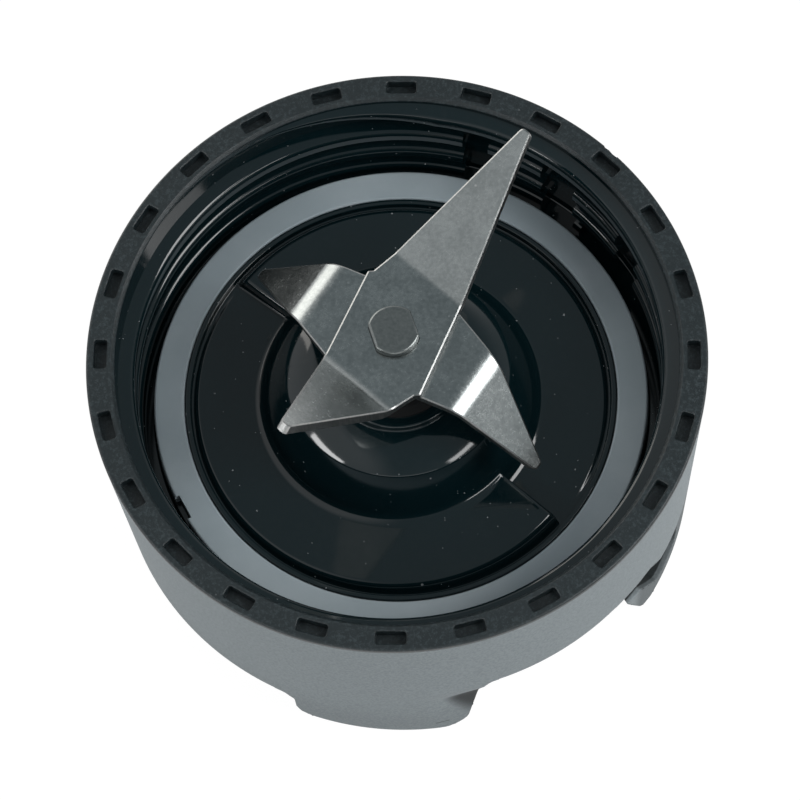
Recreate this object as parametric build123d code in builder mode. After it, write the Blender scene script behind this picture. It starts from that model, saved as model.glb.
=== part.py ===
from build123d import *

import os
from math import cos, radians, sin, tan

os.makedirs("parts", exist_ok=True)

# Blade base of a personal blender, in millimetres. It stands on its lugs, +Z up, on the shaft's axis.
# Angles are in degrees, counted from +X towards +Y.

# Fits
slip_fit = 0.03
running_fit = 0.06
seat_clearance = 0.10

# Shaft and bearings
shaft_radius = 4.0
bearing_section = 4.0
flats_across = 6.8
flats_angle = 12.5
race_wall = 1.2
ball_radius = 1.2
ball_count = 7
ball_clearance = 0.05
bearing_width = 5.0
shield_thickness = 0.3
shield_inset = 0.15
shield_lap = 0.25
shield_gap = 0.15
cage_thickness = 0.6
cage_margin = 0.45

# Shaft seal and blade spacer
spacer_wall = 2.0
slinger_radius = 8.0
slinger_thickness = 1.8
shaft_seal_step = 1.0
shaft_seal_height = 4.0
shaft_seal_lip = 0.9
shaft_seal_flange = 1.5

# Boss and hub of the holder
hub_wall = 3.2
hub_shoulder = 1.1
boss_ring_wall = 1.8
boss_ring_height = 1.2
boss_dome_width = 6.6
boss_dome_rise = 2.4
boss_dome_round = 6.0
boss_slope_run = 4.4
boss_wall = 2.6
boss_height = 11.0
lower_bearing_drop = 3.4
boss_edge_round = 0.6
boss_foot_round = 2.2

# Cup seal, floor and collar, outwards from the seal
seal_inner_radius = 34.0
seal_width = 4.8
seal_height = 2.5
seal_edge_round = 0.4
seal_lip_width = 0.9
seal_depth = 17.0
floor_depth = 18.0
floor_thickness = 2.6
channel_width = 4.3
channel_depth = 21.2
channel_web = 2.2
collar_wall = 3.65
seal_notch_angle = 202.7
seal_notch_width = 4.2
seal_notch_depth = 0.8
rib_count = 6
rib_thickness = 2.0
rib_height = 6.4

# Rim
rim_height = 46.0
flange_thickness = 1.1
rim_round = 0.4
rim_chamfer = 0.55
pocket_count = 24
pocket_first_angle = 8.41
pocket_width = 4.7
pocket_length = 2.0
pocket_depth = 2.0
pocket_outer_wall = 0.45

# Outer sleeve and its lugs
sleeve_skin = 0.7
sleeve_wall = 3.0
sleeve_draft = 1.6
window_angle = 296.5
window_depth = 25.0
window_top_round = 2.0
plain_lug_top = 12.5
plain_lug_foot = 15.6
plain_lug_round = 4.0
plain_lug_flat_angle = 280.0
plain_lug_flat_depth = 0.5
plain_lug_flat_drop = 1.5
slotted_lug_top = 11.7
slotted_lug_foot = 18.6
slotted_lug_round = 5.0
skirt_angle = 26.5
skirt_width = 53.4
skirt_depth = 37.0
skirt_round = 2.6
lug_stations = 2
slot_angle = 325.0
slot_floor = 0.8
slot_mouth_run = 6.9
slot_mouth_height = 6.0
slot_drop = 6.2
slot_height = 9.0
slot_ramp = 6.0
slot_run = 7.0
slot_slope = 1.0
slot_round = 2.0

# Blades
blade_thickness = 1.5
blade_plate_rise = 8.5
head_height = 1.3
head_round = 0.45
blade_hole_fit = 0.04
upper_bend_angle = 42.0
upper_bend = 9.75
upper_steep_lift = 47.4
upper_slight_lift = 16.8
upper_bend_round = 2.0
lower_bend_angle = 321.0
lower_bend = 14.4
lower_drop = 45.5
lower_bend_round = 2.4
upper_far_reach = 35.6
upper_far_tip = 4.9
upper_near_reach = 25.8
upper_near_tip = 3.3
upper_corner = 4.9
upper_half_width = 9.8
upper_neck = 5.2
lower_reach = 27.1
lower_tip = 1.9
lower_corner = 5.2
lower_half_width = 8.8
lower_shoulder = 4.7
lower_shoulder_run = 2.1
lower_neck = 5.3
tip_width = 1.6
tip_round = 0.7
grind_step = 0.6
grind_round = 0.25

# Drive coupling
thrust_washer_thickness = 0.8
thrust_washer_radius = 5.6
hub_ring_thickness = 1.0
hub_ring_groove = 0.5
hub_ring_width = 1.6
hub_ring_gap_angle = 40.0
hub_end = 1.4
shaft_ring_thickness = 1.0
shaft_ring_groove = 0.65
shaft_ring_width = 2.2
shaft_ring_mouth = 5.0
coupling_gap = 1.6
coupling_height = 10.0
coupling_radius = 12.0
coupling_root_radius = 9.4
coupling_teeth = 8
coupling_web = 2.0
insert_flats = 12.0
insert_height = 6.0
insert_depth = 2.0
shaft_end_margin = 1.0

# Radii worked out from the shaft outwards
bearing_radius = shaft_radius + bearing_section
pitch_radius = shaft_radius + bearing_section / 2
inner_race_radius = shaft_radius + race_wall
outer_race_bore = bearing_radius - race_wall
spacer_radius = shaft_radius + slip_fit + spacer_wall
hub_bore = bearing_radius + slip_fit
hub_radius = hub_bore + hub_wall
shaft_seal_radius = bearing_radius + shaft_seal_step
boss_ring_radius = shaft_seal_radius + boss_ring_wall
boss_shoulder_radius = boss_ring_radius + boss_dome_width
boss_base_radius = boss_shoulder_radius + boss_slope_run

# Radii worked out from the cup seal outwards
seal_outer_radius = seal_inner_radius + seal_width
lip_outer = seal_inner_radius - seat_clearance
lip_inner = lip_outer - seal_lip_width
seal_wall = seal_outer_radius + seat_clearance
thread_bore = seal_wall + channel_width
collar_radius = thread_bore + collar_wall
rim_radius = collar_radius + slip_fit + sleeve_skin
foot_radius = rim_radius - sleeve_draft

# Heights worked out from the rim downwards
flange_under = rim_height - flange_thickness
window_edge = rim_height - window_depth
skirt_edge = rim_height - skirt_depth
seal_top = rim_height - seal_depth
seal_seat = seal_top - seal_height
floor_top = rim_height - floor_depth
floor_under = floor_top - floor_thickness
seat_under = seal_seat - floor_thickness
channel_floor = rim_height - channel_depth
channel_under = channel_floor - channel_web
plate_top = rim_height + blade_plate_rise
lower_top = plate_top - blade_thickness
spacer_top = lower_top - blade_thickness
boss_shoulder = floor_top + boss_height
boss_top = boss_shoulder + boss_dome_rise + boss_ring_height
shaft_seal_seat = boss_top - shaft_seal_height - seat_clearance
upper_bearing = shaft_seal_seat - bearing_width
lower_bearing = floor_under - lower_bearing_drop - bearing_width
washer_under = lower_bearing - thrust_washer_thickness
shaft_ring_under = washer_under - shaft_ring_thickness
hub_ring_under = lower_bearing - hub_ring_thickness
hub_under = hub_ring_under - hub_end
coupling_top = hub_under - coupling_gap
coupling_under = coupling_top - coupling_height
shaft_under = coupling_under + shaft_end_margin


def sleeve_radius(height):
    """Outer radius of the drafted sleeve at a height above the feet."""
    return foot_radius + sleeve_draft * height / rim_height


def around(angle, distance=0.0):
    """Upright plane that faces outwards at an angle, with its X along the wall and its Y up."""
    outwards = (cos(radians(angle)), sin(radians(angle)), 0)
    along = (-sin(radians(angle)), cos(radians(angle)), 0)
    origin = (distance * outwards[0], distance * outwards[1], 0)
    return Plane(origin=origin, x_dir=along, z_dir=outwards)


def beside(angle):
    """Upright plane through the axis, with its X outwards at an angle and its Y up."""
    outwards = (cos(radians(angle)), sin(radians(angle)), 0)
    return Plane(origin=(0, 0, 0), x_dir=outwards, z_dir=(outwards[1], -outwards[0], 0))


def turned(angle):
    """Level plane whose X points outwards at an angle."""
    return Plane(origin=(0, 0, 0), x_dir=(cos(radians(angle)), sin(radians(angle)), 0), z_dir=(0, 0, 1))


def outline(plane, corners):
    """Face with the given corners, each an X, a Y and the radius that rounds it."""
    with BuildSketch(plane) as face:
        with BuildLine():
            roundings = [corner[2] for corner in corners]
            FilletPolyline(*[corner[:2] for corner in corners], radius=roundings, close=True)
        make_face()
    return face.sketch


def section(*corners):
    """Half section for turning: corners of radius and height, some with a third value that rounds them."""
    return outline(Plane.XZ, [(*corner, 0.0)[:3] for corner in corners])


def double_flat(plane, radius, across):
    """Round outline with two flats, turned to the shaft's flats."""
    with BuildSketch(plane) as face:
        Circle(radius)
        Rectangle(across, 3 * radius, rotation=flats_angle, mode=Mode.INTERSECT)
    return face.sketch


def bent_sheet(bend, near_slope, far_slope, near_reach, far_reach, inner_round):
    """Side corners of a sheet with one bend each side, its flat top at zero. Slopes are positive upwards."""
    corners = []
    for side, slope, reach in ((1, far_slope, far_reach), (-1, near_slope, near_reach)):
        rise = tan(radians(slope))
        tuck = blade_thickness * tan(radians(slope) / 2)
        end = reach + blade_thickness
        upper_round = inner_round + (blade_thickness if slope < 0 else 0)
        lower_round = inner_round + (blade_thickness if slope > 0 else 0)
        end_top = (end - bend) * rise
        side_corners = [
            (side * (bend + tuck), -blade_thickness, lower_round),
            (side * end, end_top - blade_thickness / cos(radians(slope)), 0),
            (side * end, end_top, 0),
            (side * bend, 0, upper_round),
        ]
        corners += side_corners if side > 0 else side_corners[::-1]
    return corners


# Outer sleeve: a drafted shell that laps the holder's collar, cut below into lugs
sleeve_ledge = channel_under - seat_clearance
with BuildPart() as outer_sleeve:
    revolve(
        section(
            (sleeve_radius(0), 0),
            (sleeve_radius(flange_under), flange_under),
            (collar_radius + slip_fit - sleeve_draft * flange_thickness / rim_height, flange_under),
            (sleeve_radius(sleeve_ledge) - sleeve_skin, sleeve_ledge),
            (sleeve_radius(sleeve_ledge) - sleeve_wall, sleeve_ledge),
            (sleeve_radius(0) - sleeve_wall, 0),
        ),
        axis=Axis.Z,
    )
    below = -skirt_edge
    skirt_corner = min(skirt_round, 0.45 * skirt_edge)
    for station in range(lug_stations):
        turn = station * 360 / lug_stations
        window_reach = 1.5 * slotted_lug_foot
        window = [
            (slotted_lug_foot, 0, slotted_lug_round),
            (slotted_lug_top, window_edge, window_top_round),
            (-plain_lug_top, window_edge, window_top_round),
            (-plain_lug_foot, 0, plain_lug_round),
            (-window_reach, 0, 0),
            (-window_reach, below, 0),
            (window_reach, below, 0),
            (window_reach, 0, 0),
        ]
        extrude(outline(around(window_angle + turn), window), amount=2 * rim_radius, mode=Mode.SUBTRACT)
        half_skirt = skirt_width / 2
        skirt = [
            (half_skirt, 0, skirt_corner),
            (half_skirt, skirt_edge, skirt_corner),
            (-half_skirt, skirt_edge, skirt_corner),
            (-half_skirt, 0, skirt_corner),
            (-skirt_width, 0, 0),
            (-skirt_width, below, 0),
            (skirt_width, below, 0),
            (skirt_width, 0, 0),
        ]
        extrude(outline(around(skirt_angle + turn), skirt), amount=2 * rim_radius, mode=Mode.SUBTRACT)
        # Flat at the plain lug's end
        flat_top = window_edge - plain_lug_flat_drop
        flat_plane = around(plain_lug_flat_angle + turn, sleeve_radius(0) - plain_lug_flat_depth)
        flat = [
            (plain_lug_foot, below, 0),
            (plain_lug_foot, flat_top, 0),
            (-plain_lug_foot, flat_top, plain_lug_round),
            (-plain_lug_foot, below, 0),
        ]
        extrude(outline(flat_plane, flat), amount=sleeve_wall, mode=Mode.SUBTRACT)
        # Locking slot: a mouth at the window, a ramp down and a level run to a rounded end
        mouth = -slot_ramp - slot_mouth_run
        slot_top = window_edge - slot_drop
        slot = [
            (mouth, window_edge, 0),
            (slot_round - slot_ramp, window_edge - slot_slope, slot_round),
            (0, slot_top, slot_round),
            (slot_run, slot_top - slot_slope, slot_round),
            (slot_run, slot_top - slot_height, slot_round),
            (0, slot_top - slot_height - slot_slope, slot_round),
            (-slot_ramp, window_edge - slot_mouth_height, 0),
            (mouth, window_edge - slot_mouth_height, 0),
        ]
        slot_plane = around(slot_angle + turn, sleeve_radius(slot_top) - sleeve_wall + slot_floor)
        extrude(outline(slot_plane, slot), amount=2 * sleeve_wall, mode=Mode.SUBTRACT)
outer_sleeve.part.label = "outer_sleeve"
export_step(outer_sleeve.part, "parts/outer_sleeve.step")

# Threaded holder: pocketed rim, collar, channel, seal seat, floor, boss and hub in one moulding
collar_foot_radius = sleeve_radius(channel_under) - sleeve_skin - slip_fit
boss_crown = boss_top - boss_ring_height
with BuildPart() as threaded_holder:
    revolve(
        section(
            (hub_bore, hub_under),
            (hub_bore, hub_ring_under),
            (hub_bore + hub_ring_groove, hub_ring_under),
            (hub_bore + hub_ring_groove, lower_bearing),
            (hub_bore, lower_bearing),
            (hub_bore, lower_bearing + bearing_width),
            (hub_bore - hub_shoulder, lower_bearing + bearing_width),
            (hub_bore - hub_shoulder, upper_bearing),
            (hub_bore, upper_bearing),
            (hub_bore, shaft_seal_seat),
            (shaft_seal_radius + slip_fit, shaft_seal_seat),
            (shaft_seal_radius + slip_fit, boss_top),
            (boss_ring_radius, boss_top, boss_ring_height / 3),
            (boss_ring_radius, boss_crown),
            (boss_ring_radius + boss_dome_width / 2, boss_crown, boss_dome_round),
            (boss_shoulder_radius, boss_shoulder, boss_edge_round),
            (boss_base_radius, floor_top, boss_foot_round),
            (lip_inner, floor_top),
            (lip_inner, seal_top),
            (lip_outer, seal_top),
            (lip_outer, seal_seat),
            (seal_wall, seal_seat),
            (seal_wall, channel_floor),
            (thread_bore, channel_floor),
            (thread_bore, rim_height - rim_chamfer),
            (thread_bore + rim_chamfer, rim_height),
            (rim_radius, rim_height, rim_round),
            (rim_radius, flange_under),
            (collar_radius - sleeve_draft * flange_thickness / rim_height, flange_under),
            (collar_foot_radius, channel_under),
            (seal_wall - floor_thickness, channel_under),
            (seal_wall - floor_thickness, seat_under),
            (lip_inner - floor_thickness, seat_under),
            (lip_inner - floor_thickness, floor_under),
            (boss_base_radius - boss_wall, floor_under),
            (boss_shoulder_radius - boss_wall, boss_shoulder - boss_wall),
            (hub_radius, boss_shoulder - boss_wall),
            (hub_radius, hub_under),
        ),
        axis=Axis.Z,
    )
    rib_length = lip_inner - hub_radius
    with BuildSketch(Plane.XY.offset(floor_under - rib_height)):
        with PolarLocations(hub_radius + rib_length / 2 - floor_thickness / 2, rib_count):
            Rectangle(rib_length, rib_thickness)
    extrude(amount=rib_height + floor_thickness / 2)
    with BuildSketch(Plane.XY.offset(rim_height)):
        pocket_radius = collar_radius - pocket_outer_wall - pocket_length / 2
        with PolarLocations(pocket_radius, pocket_count, start_angle=pocket_first_angle):
            Rectangle(pocket_length, pocket_width)
    extrude(amount=-pocket_depth, mode=Mode.SUBTRACT)
threaded_holder.part.label = "threaded_holder"
export_step(threaded_holder.part, "parts/threaded_holder.step")

# Seal ring around the floor's lip, with a notch in its outer edge
with BuildPart() as seal_ring:
    revolve(
        section(
            (seal_inner_radius, seal_seat),
            (seal_outer_radius, seal_seat),
            (seal_outer_radius, seal_top, seal_edge_round),
            (seal_inner_radius, seal_top, seal_edge_round),
        ),
        axis=Axis.Z,
    )
    with BuildSketch(Plane.XY.offset(seal_seat)):
        with PolarLocations(seal_outer_radius, 1, start_angle=seal_notch_angle):
            Rectangle(2 * seal_notch_depth, seal_notch_width)
    extrude(amount=seal_height, mode=Mode.SUBTRACT)
seal_ring.part.label = "seal_ring"
export_step(seal_ring.part, "parts/seal_ring.step")

# Upper blade: one sheet, its near wing bent up steeply and its far wing slightly
with BuildPart() as upper_blade:
    side_view = bent_sheet(
        upper_bend, upper_steep_lift, upper_slight_lift, upper_near_reach, upper_far_reach, upper_bend_round
    )
    profile = outline(beside(upper_bend_angle), side_view)
    extrude(profile.moved(Location((0, 0, plate_top))), amount=2 * upper_half_width, both=True)
    plan = [
        (upper_far_reach, upper_far_tip + tip_width / 2, tip_round),
        (upper_far_reach, upper_far_tip - tip_width / 2, tip_round),
        (-upper_corner, -upper_half_width, grind_round),
        (-upper_corner - grind_step, grind_step - upper_half_width, grind_round),
        (-upper_near_reach, -upper_near_tip - tip_width / 2, tip_round),
        (-upper_near_reach, tip_width / 2 - upper_near_tip, tip_round),
        (-upper_bend, upper_neck, 0),
        (upper_corner, upper_half_width, grind_round),
        (upper_corner + grind_step, upper_half_width - grind_step, grind_round),
    ]
    extrude(outline(turned(upper_bend_angle), plan), amount=3 * plate_top, mode=Mode.INTERSECT)
    hole = double_flat(Plane.XY, shaft_radius + blade_hole_fit, flats_across + 2 * blade_hole_fit)
    extrude(hole, amount=3 * plate_top, mode=Mode.SUBTRACT)
upper_blade.part.label = "upper_blade"
export_step(upper_blade.part, "parts/upper_blade.step")

# Lower blade: both wings bent down, the same after half a turn
with BuildPart() as lower_blade:
    side_view = bent_sheet(lower_bend, -lower_drop, -lower_drop, lower_reach, lower_reach, lower_bend_round)
    profile = outline(beside(lower_bend_angle), side_view)
    extrude(profile.moved(Location((0, 0, lower_top))), amount=2 * lower_half_width, both=True)
    half_plan = [
        (lower_reach, -lower_tip - tip_width / 2, tip_round),
        (lower_reach, tip_width / 2 - lower_tip, tip_round),
        (lower_bend + lower_shoulder_run, lower_shoulder, 0),
        (lower_corner, lower_half_width, grind_round),
        (lower_corner - grind_step, lower_half_width - grind_step, grind_round),
        (-lower_bend, lower_neck, 0),
    ]
    plan = half_plan + [(-x, -y, rounding) for x, y, rounding in half_plan]
    extrude(outline(turned(lower_bend_angle), plan), amount=3 * plate_top, mode=Mode.INTERSECT)
    hole = double_flat(Plane.XY, shaft_radius + blade_hole_fit, flats_across + 2 * blade_hole_fit)
    extrude(hole, amount=3 * plate_top, mode=Mode.SUBTRACT)
lower_blade.part.label = "lower_blade"
export_step(lower_blade.part, "parts/lower_blade.step")

# Shaft: round up to the blades, then two flats, with a groove for its retaining ring
with BuildPart() as blade_shaft:
    revolve(
        section(
            (0, shaft_under),
            (shaft_radius, shaft_under),
            (shaft_radius, shaft_ring_under),
            (shaft_radius - shaft_ring_groove, shaft_ring_under),
            (shaft_radius - shaft_ring_groove, washer_under),
            (shaft_radius, washer_under),
            (shaft_radius, spacer_top),
            (0, spacer_top),
        ),
        axis=Axis.Z,
    )
    extrude(
        double_flat(Plane.XY.offset(spacer_top), shaft_radius, flats_across),
        amount=plate_top + head_height - spacer_top,
    )
    fillet(blade_shaft.faces().sort_by(Axis.Z)[-1].edges(), head_round)
blade_shaft.part.label = "blade_shaft"
export_step(blade_shaft.part, "parts/blade_shaft.step")

# Blade spacer with a slinger flange under the blades
spacer_under = upper_bearing + bearing_width
with BuildPart() as blade_spacer:
    revolve(
        section(
            (shaft_radius + slip_fit, spacer_under),
            (spacer_radius, spacer_under),
            (spacer_radius, spacer_top - slinger_thickness),
            (slinger_radius, spacer_top - slinger_thickness),
            (slinger_radius, spacer_top),
            (shaft_radius + slip_fit, spacer_top),
        ),
        axis=Axis.Z,
    )
blade_spacer.part.label = "blade_spacer"
export_step(blade_spacer.part, "parts/blade_spacer.step")

# Shaft seal: a ring in the boss with a lip around the spacer
seal_lip_under = shaft_seal_seat + shaft_seal_height - 2 * shaft_seal_lip
with BuildPart() as shaft_seal:
    revolve(
        section(
            (shaft_seal_radius - shaft_seal_flange, shaft_seal_seat),
            (shaft_seal_radius, shaft_seal_seat),
            (shaft_seal_radius, shaft_seal_seat + shaft_seal_height),
            (shaft_seal_radius - shaft_seal_flange, shaft_seal_seat + shaft_seal_height),
            (spacer_radius + running_fit, seal_lip_under + shaft_seal_lip),
            (spacer_radius + running_fit, seal_lip_under),
            (shaft_seal_radius - shaft_seal_flange, seal_lip_under),
        ),
        axis=Axis.Z,
    )
shaft_seal.part.label = "shaft_seal"
export_step(shaft_seal.part, "parts/shaft_seal.step")

# Two ball bearings, each with its races, balls, cage and shields
groove_radius = ball_radius + ball_clearance
shield_outer = outer_race_bore + shield_lap
for place, bearing_under in (("upper", upper_bearing), ("lower", lower_bearing)):
    bearing_middle = bearing_under + bearing_width / 2
    bearing_over = bearing_under + bearing_width
    shield_band = shield_inset + shield_thickness

    with BuildPart() as outer_race:
        revolve(
            section(
                (shield_outer + slip_fit, bearing_under),
                (bearing_radius, bearing_under),
                (bearing_radius, bearing_over),
                (shield_outer + slip_fit, bearing_over),
                (shield_outer + slip_fit, bearing_over - shield_band),
                (outer_race_bore, bearing_over - shield_band),
                (outer_race_bore, bearing_under + shield_band),
                (shield_outer + slip_fit, bearing_under + shield_band),
            ),
            axis=Axis.Z,
        )
        with Locations((0, 0, bearing_middle)):
            Torus(pitch_radius, groove_radius, mode=Mode.SUBTRACT)
    outer_race.part.label = f"{place}_outer_race"
    export_step(outer_race.part, f"parts/{place}_outer_race.step")

    with BuildPart() as inner_race:
        revolve(
            section(
                (shaft_radius + slip_fit, bearing_under),
                (inner_race_radius, bearing_under),
                (inner_race_radius, bearing_over),
                (shaft_radius + slip_fit, bearing_over),
            ),
            axis=Axis.Z,
        )
        with Locations((0, 0, bearing_middle)):
            Torus(pitch_radius, groove_radius, mode=Mode.SUBTRACT)
    inner_race.part.label = f"{place}_inner_race"
    export_step(inner_race.part, f"parts/{place}_inner_race.step")

    with BuildPart() as ball_set:
        with Locations((0, 0, bearing_middle)):
            with PolarLocations(pitch_radius, ball_count):
                Sphere(ball_radius)
    ball_set.part.label = f"{place}_ball_set"
    export_step(ball_set.part, f"parts/{place}_ball_set.step")

    with BuildPart() as ball_cage:
        cage_half = ball_radius + cage_margin
        revolve(
            section(
                (pitch_radius - cage_thickness / 2, bearing_middle - cage_half),
                (pitch_radius + cage_thickness / 2, bearing_middle - cage_half),
                (pitch_radius + cage_thickness / 2, bearing_middle + cage_half),
                (pitch_radius - cage_thickness / 2, bearing_middle + cage_half),
            ),
            axis=Axis.Z,
        )
        for ball in range(ball_count):
            with BuildSketch(around(ball * 360 / ball_count)):
                with Locations((0, bearing_middle)):
                    Circle(ball_radius + ball_clearance)
        extrude(amount=bearing_radius, mode=Mode.SUBTRACT)
    ball_cage.part.label = f"{place}_ball_cage"
    export_step(ball_cage.part, f"parts/{place}_ball_cage.step")

    with BuildPart() as shields:
        for shield_under in (bearing_under + shield_inset, bearing_over - shield_band):
            revolve(
                section(
                    (inner_race_radius + shield_gap, shield_under),
                    (shield_outer, shield_under),
                    (shield_outer, shield_under + shield_thickness),
                    (inner_race_radius + shield_gap, shield_under + shield_thickness),
                ),
                axis=Axis.Z,
            )
    shields.part.label = f"{place}_shields"
    export_step(shields.part, f"parts/{place}_shields.step")

# Spacer tube between the inner races
bearing_spacer_under = lower_bearing + bearing_width
with BuildPart() as bearing_spacer:
    revolve(
        section(
            (shaft_radius + slip_fit, bearing_spacer_under),
            (inner_race_radius, bearing_spacer_under),
            (inner_race_radius, upper_bearing),
            (shaft_radius + slip_fit, upper_bearing),
        ),
        axis=Axis.Z,
    )
bearing_spacer.part.label = "bearing_spacer"
export_step(bearing_spacer.part, "parts/bearing_spacer.step")

# Retaining ring that holds the lower bearing in the hub
with BuildPart() as hub_ring:
    hub_ring_outer = hub_bore + hub_ring_groove - slip_fit
    revolve(
        section(
            (hub_ring_outer - hub_ring_width, hub_ring_under + slip_fit),
            (hub_ring_outer, hub_ring_under + slip_fit),
            (hub_ring_outer, lower_bearing),
            (hub_ring_outer - hub_ring_width, lower_bearing),
        ),
        axis=Axis.Z,
        revolution_arc=360 - hub_ring_gap_angle,
    )
hub_ring.part.label = "hub_ring"
export_step(hub_ring.part, "parts/hub_ring.step")

# Thrust washer under the lower inner race
with BuildPart() as thrust_washer:
    with BuildSketch(Plane.XY.offset(washer_under)):
        Circle(thrust_washer_radius)
        Circle(shaft_radius + slip_fit, mode=Mode.SUBTRACT)
    extrude(amount=thrust_washer_thickness)
thrust_washer.part.label = "thrust_washer"
export_step(thrust_washer.part, "parts/thrust_washer.step")

# Open retaining ring in the shaft's groove
with BuildPart() as shaft_ring:
    ring_bore = shaft_radius - shaft_ring_groove + slip_fit
    with BuildSketch(Plane.XY.offset(shaft_ring_under + slip_fit)):
        Circle(ring_bore + shaft_ring_width)
        Circle(ring_bore, mode=Mode.SUBTRACT)
        with Locations((ring_bore + shaft_ring_width / 2, 0)):
            Rectangle(2 * shaft_ring_width, shaft_ring_mouth, mode=Mode.SUBTRACT)
    extrude(amount=shaft_ring_thickness - slip_fit)
shaft_ring.part.label = "shaft_ring"
export_step(shaft_ring.part, "parts/shaft_ring.step")

# Drive coupling: rounded teeth under a web, moulded around a hexagon insert
insert_under = coupling_under + insert_depth
with BuildPart() as drive_coupling:
    with BuildSketch(Plane.XY.offset(coupling_under)):
        Circle(coupling_root_radius)
        with PolarLocations(coupling_root_radius, coupling_teeth):
            SlotOverall(2 * (coupling_radius - coupling_root_radius), coupling_radius / 3)
    extrude(amount=coupling_height - coupling_web)
    with BuildSketch(Plane.XY.offset(coupling_top - coupling_web)):
        Circle(coupling_radius)
    extrude(amount=coupling_web)
    with BuildSketch(Plane.XY.offset(coupling_under)):
        Circle(shaft_radius + slip_fit)
    extrude(amount=coupling_height, mode=Mode.SUBTRACT)
    with BuildSketch(Plane.XY.offset(insert_under)):
        RegularPolygon(insert_flats / 2 + slip_fit, 6, major_radius=False)
    extrude(amount=insert_height, mode=Mode.SUBTRACT)
drive_coupling.part.label = "drive_coupling"
export_step(drive_coupling.part, "parts/drive_coupling.step")

# Hexagon insert that grips the shaft inside the coupling
with BuildPart() as coupling_insert:
    with BuildSketch(Plane.XY.offset(insert_under)):
        RegularPolygon(insert_flats / 2, 6, major_radius=False)
        Circle(shaft_radius + slip_fit, mode=Mode.SUBTRACT)
    extrude(amount=insert_height)
coupling_insert.part.label = "coupling_insert"
export_step(coupling_insert.part, "parts/coupling_insert.step")
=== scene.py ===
"""Studio scene of a personal blender's blade base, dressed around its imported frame."""

import logging
import math
from abc import ABC, abstractmethod
from contextlib import contextmanager
from dataclasses import dataclass, field
from enum import Enum
from typing import Any, Iterator, Optional, Sequence, Union

import bmesh
import bpy
from mathutils import Matrix, Vector


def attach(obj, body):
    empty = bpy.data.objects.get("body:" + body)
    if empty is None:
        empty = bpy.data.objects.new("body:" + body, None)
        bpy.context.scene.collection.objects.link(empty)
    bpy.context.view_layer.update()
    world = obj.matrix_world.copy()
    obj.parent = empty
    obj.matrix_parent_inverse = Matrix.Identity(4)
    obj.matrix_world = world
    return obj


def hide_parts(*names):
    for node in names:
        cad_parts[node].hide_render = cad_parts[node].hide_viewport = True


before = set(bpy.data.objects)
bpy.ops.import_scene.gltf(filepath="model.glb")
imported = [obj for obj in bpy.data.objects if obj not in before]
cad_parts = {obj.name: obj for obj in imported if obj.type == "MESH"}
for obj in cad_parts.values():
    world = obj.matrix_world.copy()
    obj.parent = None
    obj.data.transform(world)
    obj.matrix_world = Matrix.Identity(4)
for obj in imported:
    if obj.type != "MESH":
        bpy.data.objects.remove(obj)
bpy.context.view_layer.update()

MM = 0.001
LOG = logging.getLogger("blade_base")

Colour = tuple[float, float, float]
Triple = tuple[float, float, float]
Point = tuple[float, float]
Span = tuple[float, float]


class Body(str, Enum):
    """The bodies of the frame that pieces ride on."""

    BASE = "base"
    ROTOR = "rotor"


class Slot(str, Enum):
    """The record's material slots named for the new pieces; nothing here gives them to the pieces."""

    SLEEVE = "sleeve_grey"
    HOLDER = "holder_black"
    SEAL = "seal_grey"
    BLADE = "blade_steel"
    SHAFT = "shaft_steel"


class Join(str, Enum):
    """How one mesh is combined with another."""

    CUT = "DIFFERENCE"
    ADD = "UNION"


@dataclass(frozen=True)
class Noise:
    """A noise pattern: waves a metre, octaves, the weight of the finer ones and a stretch along each axis."""

    scale: float
    detail: float = 2.0
    rough: float = 0.5
    stretch: Optional[Triple] = None


@dataclass(frozen=True)
class Specks:
    """Scattered dots: cells a metre, their radius as a share of a cell and the share of cells with a dot."""

    scale: float
    size: float
    share: float


class Sock:
    """A node's output socket whose arithmetic adds Math nodes to its tree."""

    def __init__(self, graph: "Graph", socket: bpy.types.NodeSocket) -> None:
        """Wrap a socket.

        Args:
            graph: The graph that the socket belongs to.
            socket: The output socket.
        """
        self.graph = graph
        self.socket = socket

    def __add__(self, other: "Number") -> "Sock":
        """Sum."""
        return self.graph.math("ADD", self, other)

    def __radd__(self, other: "Number") -> "Sock":
        """Sum, from the right."""
        return self.graph.math("ADD", other, self)

    def __sub__(self, other: "Number") -> "Sock":
        """Difference."""
        return self.graph.math("SUBTRACT", self, other)

    def __rsub__(self, other: "Number") -> "Sock":
        """Difference, from the right."""
        return self.graph.math("SUBTRACT", other, self)

    def __mul__(self, other: "Number") -> "Sock":
        """Product."""
        return self.graph.math("MULTIPLY", self, other)

    def __rmul__(self, other: "Number") -> "Sock":
        """Product, from the right."""
        return self.graph.math("MULTIPLY", other, self)

    def __truediv__(self, other: "Number") -> "Sock":
        """Quotient."""
        return self.graph.math("DIVIDE", self, other)

    def __pow__(self, other: "Number") -> "Sock":
        """Power."""
        return self.graph.math("POWER", self, other)

    def __lt__(self, other: "Number") -> "Sock":
        """One where this is less than the other, else zero."""
        return self.graph.math("LESS_THAN", self, other)

    def __gt__(self, other: "Number") -> "Sock":
        """One where this is greater than the other, else zero."""
        return self.graph.math("GREATER_THAN", self, other)


Number = Union[Sock, float]


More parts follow.
